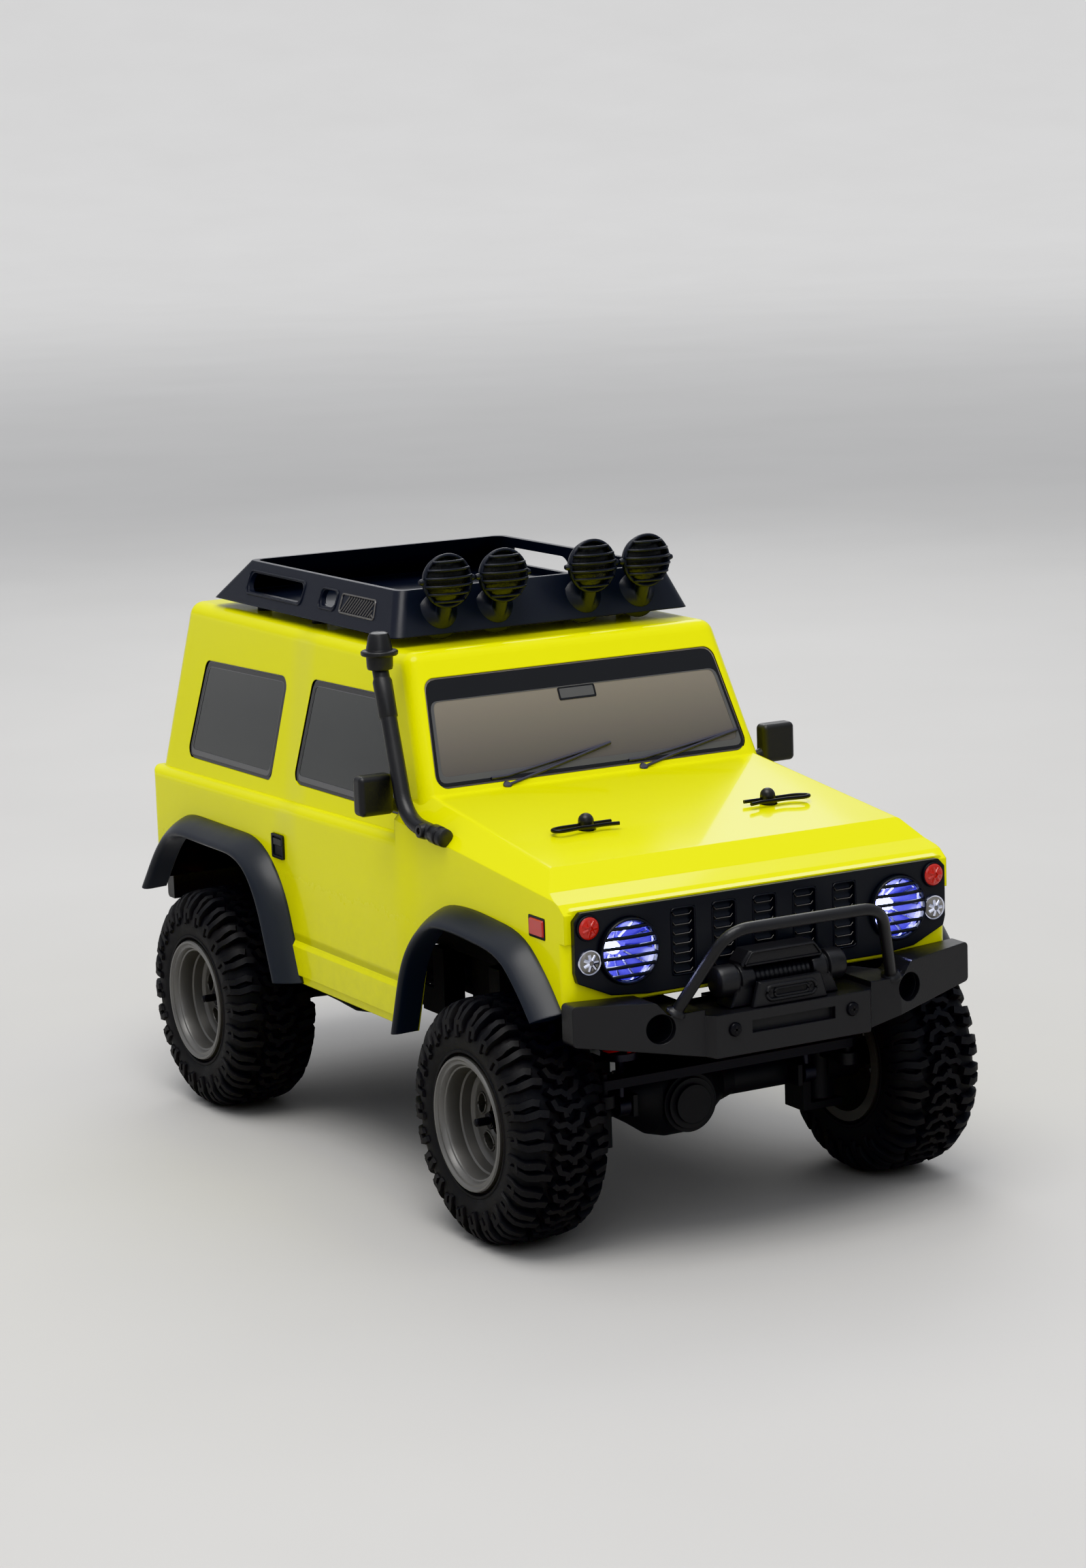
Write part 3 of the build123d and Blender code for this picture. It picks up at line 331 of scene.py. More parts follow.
def bridge(bm, rings, closed=True, capped=False):
    """Joins each ring of vertices to the next with quads, and may close the first and the last."""
    for first, second in zip(rings, rings[1:]):
        for i in range(len(first) if closed else len(first) - 1):
            j = (i + 1) % len(first)
            bm.faces.new([first[i], first[j], second[j], second[i]])
    if capped:
        bm.faces.new(rings[0][::-1])
        bm.faces.new(rings[-1])


def slab(bm, outline, low, high, place, chamfer=0.0):
    """Prism of an outline of (a, b) points between two heights; place(a, b, h) gives the point.
    A chamfer pulls the outer face's outline in towards its middle."""
    levels = [(outline, low), (outline, high)]
    if chamfer:
        middle = Vector((sum(p[0] for p in outline), sum(p[1] for p in outline))) / len(outline)
        inner = []
        for point in outline:
            offset = Vector(point) - middle
            inner.append(middle + offset * (1 - chamfer / max(offset.length, chamfer * 2, 1e-9)))
        levels = [(outline, low), (outline, high - math.copysign(chamfer, high - low)), (inner, high)]
    rings = [[bm.verts.new(Vector(place(a, b, h)) * MM) for a, b in points] for points, h in levels]
    bridge(bm, rings, capped=True)


def tube(bm, points, radius, segments=8, closed=False):
    """Round tube along a list of points, with flat ends or closed on itself."""
    path = [Vector(p) for p in points]
    count = len(path)
    rings = []
    for i, point in enumerate(path):
        before = path[i - 1] if i or closed else point
        after = path[(i + 1) % count] if i < count - 1 or closed else point
        direction = (after - before).normalized()
        across = direction.cross(Vector(UP))
        if across.length < 0.05:
            across = direction.cross(Vector(LEFT))
        across.normalize()
        other = across.cross(direction)
        rings.append([bm.verts.new((point + across * u + other * v) * MM) for u, v in circle(segments, radius)])
    bridge(bm, rings + rings[:1] if closed else rings, capped=not closed)


def turned(name, profile, origin, material, slot="frame_plastic", axis=AHEAD, segments=48, **placing):
    """Piece of one turned profile."""
    bm = bmesh.new()
    lathe(bm, profile, origin, axis, segments)
    put(name, bm, material, slot, **placing)


def bent(name, points, radius, material, segments=8, closed=False, **placing):
    """Piece of one tube."""
    bm = bmesh.new()
    tube(bm, points, radius, segments, closed)
    put(name, bm, material, **placing)


def corner_arc(before, corner, after, radius, steps, limit):
    """Points of a curve that cuts a corner, starting and ending about a radius away from it."""
    corner = Vector(corner)
    back, on = Vector(before) - corner, Vector(after) - corner
    first = corner + back.normalized() * min(radius, back.length / limit)
    last = corner + on.normalized() * min(radius, on.length / limit)
    weights = [k / steps for k in range(steps + 1)]
    return [(1 - t) ** 2 * first + 2 * t * (1 - t) * corner + t * t * last for t in weights]


def rounded_path(corners, radius, steps=6):
    """Open path whose inner corners are rounded."""
    path = [Vector(corners[0])]
    for before, corner, after in zip(corners, corners[1:], corners[2:]):
        path += corner_arc(before, corner, after, radius, steps, limit=2.05)
    return path + [Vector(corners[-1])]


def rounded_outline(points, radius, steps=4):
    """Closed flat outline with rounded corners."""
    result = []
    for i, corner in enumerate(points):
        result += corner_arc(points[i - 1], corner, points[(i + 1) % len(points)], radius, steps, limit=2.1)
    return result


def rectangle(a0, b0, a1, b1):
    return [(a0, b0), (a1, b0), (a1, b1), (a0, b1)]


def rounded_box(a, b, width, height, radius=0.7):
    """Rounded rectangle about its middle."""
    return rounded_outline(rectangle(a - width / 2, b - height / 2, a + width / 2, b + height / 2), radius)


def circle(count, radius=1.0):
    """Evenly spaced (across, up) points of a circle."""
    angles = [2 * math.pi * n / count for n in range(count)]
    return [Vector((radius * math.cos(angle), radius * math.sin(angle))) for angle in angles]


def centre(node):
    low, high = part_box(node)
    return (low + high) / 2 / MM


# ---------------------------------------------------------------- tyres

TYRE_LOW, TYRE_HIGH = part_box("tyre_front_left")
TYRE_R = (TYRE_HIGH.z - TYRE_LOW.z) / 2 / MM
LUG_H = 2.3
SIDE_LUG_H = 0.7
# Half section of the carcass under the lugs: (distance from the middle plane, radius)
CARCASS = [
    (0, TYRE_R - LUG_H), (6, TYRE_R - LUG_H - 0.1), (9.2, TYRE_R - LUG_H - 0.7), (11.3, TYRE_R - 4.7),
    (12.3, TYRE_R - 7.4), (12.3, TYRE_R - 10), (11.8, TYRE_R - 12.2), (10.9, TYRE_R - 14),
]
BEAD = [(10.9, 16.4), (10.5, 15.3), (-10.5, 15.3), (-10.9, 16.4)]
PITCHES = 24
# Across a lug: (share of its width, share of its height, or a depth below the carcass when negative)
LUG_SECTION = ((0.5, -0.3), (0.46, 0.55), (0.36, 1), (-0.36, 1), (-0.46, 0.55), (-0.5, -0.3))
# One pitch of the tread: (width, (way round the tyre, way across it) ...), the crown being at 0 across
TREAD = (
    (2.5, ((0, 5), (0.7, 7.4), (0.1, 10.2), (0.8, 13.4), (0.5, 15.2))),
    (2.5, ((3, 6.6), (3.7, 8.6), (3.1, 11), (3.9, 14), (3.6, 16.6))),
    (1.9, ((-1.7, 0.7), (0.4, 0.9), (1.2, 3), (3.6, 3.9))),
    (1.9, ((3.6, -0.6), (5.1, 1), (4.9, 3.2), (6.2, 4.6))),
    (1.6, ((0.3, 12.6), (3.6, 13.2))),
)


def carcass_point(s):
    """Point (y, radius) and outward normal at a distance s round the carcass from its crown."""
    side = -1 if s < 0 else 1
    rest = abs(s)
    for (y0, r0), (y1, r1) in zip(CARCASS, CARCASS[1:]):
        step = math.hypot(y1 - y0, r1 - r0)
        if rest <= step or (y1, r1) == CARCASS[-1]:
            t = rest / step
            across = Vector((y1 - y0, r1 - r0)) / step
            return side * (y0 + t * (y1 - y0)), r0 + t * (r1 - r0), side * -across.y, across.x
        rest -= step


def lug_height(s):
    """Lugs stand tall on the tread and fade out down the sidewall."""
    return LUG_H - max(0, min(1, (abs(s) - 8.5) / 6)) * (LUG_H - SIDE_LUG_H)


def on_tyre(u, s, h):
    """Place of a point u round the tyre, s across it and h above its carcass."""
    y, r, ny, nr = carcass_point(s)
    angle = u / TYRE_R
    r += nr * h
    return Vector((r * math.sin(angle), y + ny * h, r * math.cos(angle))) * MM


def lug(bm, line, width):
    """Rubber block that follows a line of (u round the tyre, s across it), with sloping sides and ends."""
    path = []
    for (u0, s0), (u1, s1) in zip(line, line[1:]):
        steps = max(1, round(math.hypot(u1 - u0, s1 - s0) / 1.3))
        path += [Vector((u0 + (u1 - u0) * i / steps, s0 + (s1 - s0) * i / steps)) for i in range(steps)]
    path.append(Vector(line[-1]))
    rings = []
    for i, point in enumerate(path):
        along = (path[min(i + 1, len(path) - 1)] - path[max(i - 1, 0)]).normalized()
        across = Vector((-along.y, along.x))
        end_slope = along * (0.35 if i == 0 else -0.35 if i == len(path) - 1 else 0)
        ring = []
        for offset, height in LUG_SECTION:
            spot = point + across * width * offset
            if height == 1.0:
                spot += end_slope
            rise = height * lug_height(spot.y) if height > 0 else height
            ring.append(bm.verts.new(on_tyre(spot.x, spot.y, rise)))
        rings.append(ring)
    bridge(bm, rings, closed=False)
    bm.faces.new(rings[0])
    bm.faces.new(rings[-1][::-1])


def tyre_mesh():
    """Mud-terrain tyre about its own centre: paired shoulder fingers and hooked middle blocks."""
    bm = bmesh.new()
    outer = [(side * y, r) for side, half in ((-1, CARCASS[::-1]), (1, CARCASS[1:])) for y, r in half]
    lathe(bm, outer + BEAD + outer[:1], ORIGIN, LEFT, 120)
    for side in (-1, 1):
        ridge = [(side * 11.2, 17.4), (side * 11.9, 17.9), (side * 11.95, 18.5), (side * 11.6, 19)]
        lathe(bm, ridge, ORIGIN, LEFT, 120)
    pitch = 2 * math.pi * TYRE_R / PITCHES
    for n in range(PITCHES):
        for side, shift in ((1, 0), (-1, 0.5)):
            u = (n + shift) * pitch
            for width, line in TREAD:
                lug(bm, [(u + a, side * b) for a, b in line], width)
    return shaded(mesh_from("tyre", bm), RUBBER, smooth=32)


def place_copy(name, mesh, corner, node):
    """Puts a shared wheel mesh at one corner, its outside turned away from the car."""
    obj = show(name, mesh)
    obj.location = centre("tyre_" + corner) * MM
    obj.rotation_euler.z = 0 if corner.endswith("left") else math.pi
    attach(obj, "wheel_" + corner)
    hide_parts(node)


# ---------------------------------------------------------------- rims

SPOKE_HOLES = 5
HOLE_RADIUS = 8.2  # from the wheel's axis to the middle of a hole
DISC_OUT = 3.5  # outer face of the disc, from the wheel's middle plane
HUB_FACE = DISC_OUT - 1.6
RIM_SECTION = [
    (-12, 14.2), (-12, 16.9), (-10.8, 16.9), (-10.8, 15), (10.8, 15), (10.9, 17), (12.2, 17),
    (12.6, 16.7), (12.6, 16.2), (12.2, 15.9), (12, 15.7), (12, 15), (11.6, 14.7), (10.9, 14.4),
    (10.7, 14), (10.2, 13.8), (7, 13.5), (6.6, 13.1), (6.2, 13), (DISC_OUT + 0.9, 12.5),
    (DISC_OUT + 0.3, 11.9), (DISC_OUT, 11.2), (DISC_OUT, 5.4), (DISC_OUT - 0.5, 4.9), (HUB_FACE, 4.7),
    (HUB_FACE, 0.9), (-5, 0.9), (-5, 4), (1.6, 5.2), (1.6, 10.8), (-0.6, 12.8), (-1.6, 13.8),
]


def rim_mesh():
    """Deep-dished wheel about its own centre, outside towards +Y, with oval holes round its hub."""
    bm = bmesh.new()
    lathe(bm, RIM_SECTION + RIM_SECTION[:1], ORIGIN, LEFT, 96)
    blank = show("rim_blank", mesh_from("rim_blank", bm))
    turns = [Matrix.Rotation(2 * math.pi * n / SPOKE_HOLES, 3, "Y") for n in range(SPOKE_HOLES)]
    bm = bmesh.new()
    for turn in turns:
        oval = [(2.5 * a, HOLE_RADIUS + 1.75 * b) for a, b in circle(24)]
        slab(bm, oval, -1, 6, lambda a, b, h: turn @ Vector((a, h, b)))
    cutter = show("rim_cutter", mesh_from("rim_cutter", bm))
    cut = blank.modifiers.new("holes", "BOOLEAN")
    cut.object = cutter
    cut.solver = "EXACT"
    graph = bpy.context.evaluated_depsgraph_get()
    done = bpy.data.meshes.new_from_object(blank.evaluated_get(graph))
    for obj in (blank, cutter):
        bpy.data.objects.remove(obj)
    done.name = "rim"
    bm = bmesh.new()
    bm.from_mesh(done)
    for turn in turns:
        lip = [turn @ Vector((2.75 * a, DISC_OUT + 0.05, HOLE_RADIUS + 2.0 * b)) for a, b in circle(24)]
        tube(bm, lip, 0.28, closed=True)
    bm.to_mesh(done)
    bm.free()
    return shaded(done, RIM_GREY, smooth=28)


def hub(corner):
    """Black hub with the lock nut and the threaded end of the axle."""
    side = SIDES[corner.split("_")[1]]
    out = (0, side, 0)
    face = centre("tyre_" + corner) + Vector((0, side * HUB_FACE, 0))
    wheel = f"wheel_{corner}"
    boss = [(0, 4.4), (0.9, 4.3), (1.1, 3.6), (1.5, 3.5), (1.9, 3.1), (1.9, 0)]
    turned(f"hub_{corner}", boss, face, HUB_BLACK, axis=out, segments=40, body=wheel)
    bm = bmesh.new()
    lathe(bm, [(1.7, 0), (1.7, 2.25), (3.1, 2.25), (3.5, 1.9), (3.5, 0)], face, out, 6)
    lathe(bm, [(3.4, 1.75), (4.2, 1.7), (4.3, 1.3), (4.3, 0)], face, out, 24)
    put(f"wheel_nut_{corner}", bm, STEEL_BLACK, "steel", wheel, smooth=25)
    turns, tip = 9, 8.1
    threads = [(2, 0)]
    for n in range(turns):
        start = 4.2 + n * (tip - 4.4) / turns
        threads += [(start, 0.72), (start + 0.2, 0.98)]
    threads += [(tip - 0.15, 0.8), (tip, 0.6), (tip, 0)]
    turned(f"axle_thread_{corner}", threads, face, STEEL_BLACK, "steel", out, 20, body=wheel, smooth=60)


tyre_shape, rim_shape = tyre_mesh(), rim_mesh()
for corner in CORNERS:
    place_copy(f"tread_tyre_{corner}", tyre_shape, corner, f"tyre_{corner}")
    place_copy(f"dished_rim_{corner}", rim_shape, corner, f"rim_{corner}")
    hub(corner)


# ---------------------------------------------------------------- springs

COILS = 7
COIL_R = 4.0
WIRE = 0.62
DEAD_COILS = 0.8  # flat turns at each end


def coil_spring(end, side):
    """Coil between the collar on the shock body and the perch on its rod."""
    low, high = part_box(end + "_springs")
    x = (low.x + high.x) / 2 / MM
    y = SIDES[side] * (high.y / MM - 4.55)
    bottom, top = low.z / MM + WIRE, high.z / MM - WIRE
    steps = COILS * 20
    line = []
    for i in range(steps + 1):
        t = i / steps
        angle = 2 * math.pi * COILS * t
        climb = min(1, max(0, (t * COILS - DEAD_COILS) / (COILS - 2 * DEAD_COILS)))
        line.append((x + COIL_R * math.cos(angle), y + COIL_R * math.sin(angle), bottom + (top - bottom) * climb))
    bm = bmesh.new()
    tube(bm, line, WIRE)
    obj = show(f"{end}_spring_coil_{side}", shaded(mesh_from("coil", bm), SPRING_RED))
    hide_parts(end + "_springs")
    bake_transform(obj)


for corner in CORNERS:
    coil_spring(*corner.split("_"))


# ---------------------------------------------------------------- front lamps and grille

PANEL_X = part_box("grille_panel")[1].x / MM
HEADLAMP = (39, 77)
# The lit diodes sit beside the middle of their bowls.
DIODE_Y = {"left": -1.2, "right": -2.6}
GUARD_LEVELS = (-5.9, -3.55, -1.2, 1.2, 3.55, 5.9)
# Small lamps: side offset, height, name, lens, ring and facets
SMALL_LAMPS = ((50, 84, "red", RED_LENS, PANEL, RED_LENS), (50, 75.6, "clear", WHITE_LENS, CHROME, CHROME))


def across_front(a, b, h):
    """Outline in the front plane: a to the left, b up, h forward."""
    return (h, a, b)


def rays(count):
    """Evenly spaced directions across the X axis."""
    return [Vector((0, a, b)) for a, b in circle(count)]


def headlamp(hand):
    """Lit reflector bowl with a clear lens and a guard of level bars."""
    middle = Vector((PANEL_X, SIDES[hand] * HEADLAMP[0], HEADLAMP[1]))
    bowl = [(0.6, 7.9), (-0.6, 7.6), (-2.4, 6.8), (-4.4, 5.2), (-5.8, 3.2), (-6.4, 1.4), (-6.4, 0)]
    turned(f"headlamp_bowl_{hand}", bowl, middle, BOWL_GLOW, "lamp_lens", hides=["front_lamps"])
    ring = [(-1.4, 8.25), (1.2, 8.2), (1.5, 7.95), (1.5, 7.7), (1.1, 7.5), (-0.5, 7.5), (-1.4, 8.25)]
    turned(f"headlamp_rim_{hand}", ring, middle, PANEL)
    trim = [(-1.2, 7.62), (0.3, 7.66), (0.55, 7.5), (0.3, 7.2), (-1.2, 7), (-1.2, 7.62)]
    turned(f"headlamp_trim_{hand}", trim, middle, CHROME, "lamp_lens")
    bm = bmesh.new()
    for ray in rays(10):
        tube(bm, [middle + ray * 2.4 - Vector((5.6, 0, 0)), middle + ray * 7.4 - Vector((0.7, 0, 0))], 0.35, 6)
    put(f"headlamp_flutes_{hand}", bm, CHROME, "lamp_lens")
    diode = [(-2.4, 1.6), (0, 1.6), (0.9, 1.35), (1.5, 0.8), (1.7, 0)]
    spot = middle + Vector((-2.6, DIODE_Y[hand], 0.6))
    turned(f"headlamp_diode_{hand}", diode, spot, GLOW, "lamp_lens", segments=24)
    lens = [(0.1, 7.6), (0.5, 6), (0.8, 3.4), (0.9, 0)]
    turned(f"headlamp_lens_{hand}", lens, middle, CLEAR, "lamp_lens")
    bm = bmesh.new()
    for level in GUARD_LEVELS:
        half = math.sqrt(7.9**2 - level**2)
        bow = [Vector((1.0 + 0.5 * (1 - (t / 4) ** 2), half * t / 4, level)) for t in range(-4, 5)]
        tube(bm, [middle + point for point in bow], 0.48)
    put(f"headlamp_guard_{hand}", bm, PANEL)


def small_lamp(hand, y, z, colour, lens, ring, facets):
    """Round faceted lamp in a thin ring."""
    middle = Vector((PANEL_X, SIDES[hand] * y, z))
    dome = [(-1.2, 2.85), (0.5, 2.85), (0.8, 2.6), (1.1, 1.8), (1.2, 0)]
    turned(f"{colour}_lamp_{hand}", dome, middle, lens, "lamp_lens", segments=32)
    bezel = [(0, 2.7), (0.62, 2.75), (0.7, 3.05), (0.3, 3.2), (0, 3.2)]
    turned(f"{colour}_lamp_ring_{hand}", bezel, middle, ring, "lamp_lens", segments=32)
    bm = bmesh.new()
    for ray in rays(7):
        tube(bm, [middle + ray * 0.5 + Vector((1, 0, 0)), middle + ray * 2.0 + Vector((0.7, 0, 0))], 0.55)
    put(f"{colour}_lamp_facets_{hand}", bm, facets, "lamp_lens")


for hand in SIDES:
    headlamp(hand)
    for small in SMALL_LAMPS:
        small_lamp(hand, *small)

SLOT_Y = (-23.4, -11.7, 0, 11.7, 23.4)
SLOT_LOW, SLOT_HIGH = 69, 85.5
LOUVRES = 7
LOUVRE_OUTLINE = [(-2.9, 0), (-2.2, -0.85), (2.2, -0.85), (2.9, 0), (2.2, 0.85), (-2.2, 0.85)]
# Lower edges of a louvre, traced by a grey tube that is a painted highlight
LOUVRE_GLINT = [(-2.75, 0.05), (-2.05, -0.72), (2.05, -0.72), (2.75, 0.05)]


def grille_slot(number, y):
    """Dark well with a stack of six-sided louvres, each tipped forward at its lower edge."""
    levels = [SLOT_LOW + (SLOT_HIGH - SLOT_LOW) / LOUVRES * (n + 0.5) for n in range(LOUVRES)]
    well = rectangle(y - 3.4, SLOT_LOW - 0.2, y + 3.4, SLOT_HIGH + 0.2)
    bm = bmesh.new()
    slab(bm, well, PANEL_X - 1.6, PANEL_X - 1.2, across_front)
    for z in levels:
        rings = [[], []]
        for a, b in LOUVRE_OUTLINE:
            rings[0].append(bm.verts.new(Vector((PANEL_X - 1.2, y + a, z + b)) * MM))
            reach = PANEL_X - 0.55 - 0.55 * (b + 0.85) / 1.7
            rings[1].append(bm.verts.new(Vector((reach, y + a * 0.86, z + b * 0.72)) * MM))
        bridge(bm, rings)
        bm.faces.new(rings[1])
    put(f"grille_louvres_{number}", bm, PANEL, smooth=20)
    # Thin light grey tubes on the lower edges of the louvres: a painted highlight where the black louvres catch
    # the light.
    bm = bmesh.new()
    for z in levels:
        tube(bm, [(PANEL_X - 0.45, y + a, z + b) for a, b in LOUVRE_GLINT], 0.17, segments=6)
    put(f"grille_louvre_glints_{number}", bm, GLINT_GREY, smooth=60)
    edge = rounded_outline(rectangle(y - 3.3, SLOT_LOW, y + 3.3, SLOT_HIGH), 1.2)
    edge = [(PANEL_X - 0.05, a, b) for a, b in edge]
    bent(f"grille_slot_edge_{number}", edge, 0.28, PANEL, 6, closed=True, smooth=60)


for number, y in enumerate(SLOT_Y):
    grille_slot(number, y)


# ---------------------------------------------------------------- bull bar, winch and bumper details

BUMPER_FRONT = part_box("front_bumper")[1].x / MM
HOLE_Y, HOLE_Z = 36, 58.9


def bull_bar():
    low, high = (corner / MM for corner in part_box("bull_bar"))
    top, tip, half = high.z - 1.5, high.x - 1.5, high.y - 1.6
    foot_x, foot_z = low.x + 1.2, 62.0
    corners = [(foot_x, -half, foot_z), (tip, -22, top), (tip, 22, top), (foot_x, half, foot_z)]
    bm = bmesh.new()
    tube(bm, rounded_path(corners, 6, steps=8), 1.5, 20)
    for side in SIDES.values():
        collar = [(0, 2.6), (0.7, 2.5), (1.1, 1.9), (1.4, 1.5)]
        lathe(bm, collar, (foot_x, side * half, foot_z), (0.35, -side * 0.3, 0.9), 24)
    put("bull_bar_hoop", bm, BLACK, "black_steel", smooth=50, hides=["bull_bar"])


def winch():
    """Dummy winch: grooved drum, an end can with a foot at each side, a cover, and a fairlead ahead of it."""
    low, high = (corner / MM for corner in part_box("winch"))
    x, z, half, front = (low.x + high.x) / 2 - 0.9, 67, high.y, high.x
    drum = []
    ribs = 13
    for n in range(ribs):
        a = -8.6 + 17.2 * n / ribs
        drum += [(a, 2.15), (a + 0.25, 2.5), (a + 0.8, 2.5), (a + 1.05, 2.15)]
    turned("winch_drum", drum, (x, 0, z), BLACK, "winch_plastic", LEFT, 32, smooth=60, hides=["winch"])
    bm = bmesh.new()
    for side in SIDES.values():
        can = [(8.4, 0), (8.4, 3.4), (9, 3.7), (12.2, 3.7), (12.5, 3.1), (12.9, 3.1), (13.2, 4), (17.2, 4)]
        can += [(half - 0.4, 3.6), (half, 2.9), (half, 0)]
        lathe(bm, can, (x, 0, z), (0, side, 0), 28)
        foot = [(8.8, 60.7), (15.6, 60.7), (13.6, 66), (9.2, 66)]
        slab(bm, [(side * a, b) for a, b in foot], x - 3.6, x + 3.4, across_front, chamfer=0.5)
    cover = [(-11.6, 71.2), (-9.4, 74), (9.4, 74), (11.6, 71.2), (11.6, 70.2), (-11.6, 70.2)]
    slab(bm, cover, x - 3.6, x + 2.6, across_front, chamfer=0.6)
    put("winch_cans", bm, BLACK, "winch_plastic", smooth=30)
    edge = rounded_outline([(-11.2, 70.6), (11.2, 70.6), (9, 73.6), (-9, 73.6)], 0.6)
    edge = [(x + 2.75, a, b) for a, b in edge]
    bent("winch_cover_edge", edge, 0.32, BLACK, closed=True, slot="winch_plastic", smooth=60)
    mouth_z = 63.8
    bm = bmesh.new()
    plate = [(-10.8, 60.6), (10.8, 60.6), (9, 66.8), (-9, 66.8)]
    slab(bm, plate, front - 2, front - 0.4, across_front, chamfer=0.5)
    for height, width, thick in ((3.4, 14.2, 0.42), (1.9, 9.8, 0.34)):
        loop = []
        for a, b in circle(24, height / 2):
            shift = math.copysign((width - height) / 2, a)
            loop.append((front - 0.25, shift + a, mouth_z + b))
        tube(bm, loop, thick, closed=True)
    put("winch_fairlead", bm, BLACK, "winch_plastic", smooth=30)
    # Painted shade: a flat dark slot fills the fairlead's opening; two dark pins stand beside it.
    bm = bmesh.new()
    slab(bm, rounded_box(0, mouth_z, 9.2, 1.4, 0.6), front - 1, front - 0.32, across_front)
    for side in SIDES.values():
        lathe(bm, [(-1, 0.5), (-0.3, 0.5), (-0.3, 0)], (front, side * 6.1, mouth_z), AHEAD, 16)
    put("winch_fairlead_mouth", bm, HUB_BLACK, "winch_plastic")


def screw(name, x, y, z, radius):
    """Pan-head screw that looks forward, with its cross recess drawn as a flat dark cross: painted shade."""
    head = [(0, radius), (0.5, radius), (0.9, radius * 0.86), (1.05, radius * 0.6), (1.05, 0)]
    turned(name, head, (x, y, z), STEEL_BLACK, "steel", segments=28)
    # Painted shade: the cross recess is two flat dark bars lying on the head, not a hollow.
    arm = rectangle(-radius * 0.55, -radius * 0.13, radius * 0.55, radius * 0.13)
    bm = bmesh.new()
    for points in (arm, [(b, a) for a, b in arm]):
        bm.faces.new([bm.verts.new(Vector((x + 1.08, y - a, z + b)) * MM) for a, b in points])
    put(name + "_recess", bm, HUB_BLACK, "steel")


bull_bar()
winch()
for hand, side in SIDES.items():
    screw(f"bumper_screw_{hand}", BUMPER_FRONT - 0.25, side * 17, 56.6, 1.75)
    ring = [(-1.2, 3.6), (0.15, 3.65), (0.25, 3.95), (-0.1, 4.2)]
    edge, back = ((x, side * HOLE_Y, HOLE_Z) for x in (126.6, 121.5))
    turned(f"bumper_hole_edge_{hand}", ring, edge, BLACK, axis=(0.97, side * 0.24, 0), segments=36)
    # Painted shade: a flat dark disc closes the back of each hole.
    turned(f"bumper_hole_shade_disc_{hand}", [(0, 3.6), (0, 0)], back, HUB_BLACK, segments=24)


# ---------------------------------------------------------------- drawing on the CAD's surfaces

FAR_AHEAD, FAR_ASIDE = 160, 80  # where rays start, outside the car


def cast(node, origin, direction, lift=0):
    """Point where a ray meets a CAD node, raised off its surface by lift."""
    found, spot, normal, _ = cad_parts[node].ray_cast(Vector(origin) * MM, Vector(direction))
    if not found:
        raise RuntimeError(f"nothing of {node} in front of {tuple(origin)}")
    return spot / MM + normal * lift


def offset_corners(corners, gaps):
    """Corners of a convex outline whose edges are each moved inwards by their own gap."""
    count = len(corners)
    area = sum(corners[i - 1][0] * corners[i][1] - corners[i][0] * corners[i - 1][1] for i in range(count))
    turn = 1 if area > 0 else -1
    lines = []
    for i, gap in enumerate(gaps):
        start, end = Vector(corners[i]), Vector(corners[(i + 1) % count])
        along = (end - start).normalized()
        lines.append((start + Vector((-along.y, along.x)) * gap * turn, along))
    moved = []
    for (p, d), (q, e) in zip([lines[-1]] + lines[:-1], lines):
        t = ((q.x - p.x) * e.y - (q.y - p.y) * e.x) / (d.x * e.y - d.y * e.x)
        moved.append(p + d * t)
    return moved


def printed_ring(name, outer, inner, project, material, slot="smoked_glass", height=0.12):
    """Thin flat ring between two outlines with as many points each."""
    bm = bmesh.new()
    levels = [(outer, 0), (outer, height), (inner, height), (inner, 0)]
    rings = [[bm.verts.new(project(a, b, lift) * MM) for a, b in line] for line, lift in levels]
    bridge(bm, rings + rings[:1])
    put(name, bm, material, slot, smooth=30)


def patch(name, outline, project, material, slot, height, top=None):
    """Thin raised patch drawn on a surface, its top outline smaller than its foot if one is given."""
    bm = bmesh.new()
    levels = ((outline, -0.1), (top or outline, height))
    bridge(bm, [[bm.verts.new(project(a, b, lift) * MM) for a, b in line] for line, lift in levels], capped=True)
    put(name, bm, material, slot, smooth=25)


def from_side(node, side):
    """Projector of (x, z) points onto a node, seen from the left (1) or the right (-1)."""
    return lambda a, b, lift: cast(node, (a, side * FAR_ASIDE, b), (0, -side, 0), lift)


def from_end(node, end):
    """Projector of (y, z) points onto a node, seen from the front (1) or the rear (-1)."""
    return lambda a, b, lift: cast(node, (end * FAR_AHEAD, a, b), (-end, 0, 0), lift)


def on_plane(look, corners):
    """Projector onto the flat pane that a look meets at three spots well inside its corners."""
    middle = Vector((sum(p[0] for p in corners), sum(p[1] for p in corners))) / len(corners)
    spots = [middle.lerp(Vector(p), 0.6) for p in corners[:3]]
    first, second, third = (look(a, b, 0) for a, b in spots)
    normal = (second - first).cross(third - first).normalized()
    outward = (look(spots[0].x, spots[0].y, 1) - first).dot(normal)
    normal *= math.copysign(1, outward)
    base = Matrix(((spots[1] - spots[0]), (spots[2] - spots[0]))).transposed().inverted()

    def project(a, b, lift):
        u, v = base @ (Vector((a, b)) - spots[0])
        return first + (second - first) * u + (third - first) * v + normal * lift

    return project


SCREEN = [(-46.7, 105.9), (46.7, 105.9), (43.2, 131.9), (-43.2, 131.9)]
QUARTER = [(-106.9, 95.5), (-52.1, 96.1), (-45.2, 124.7), (-97.6, 123.3)]
DOOR = [(-37.1, 97.5), (29.6, 98.1), (15.6, 126.9), (-29, 125.9)]
REAR = [(-37.5, 98.5), (37.5, 98.5), (34.5, 127.5), (-34.5, 127.5)]


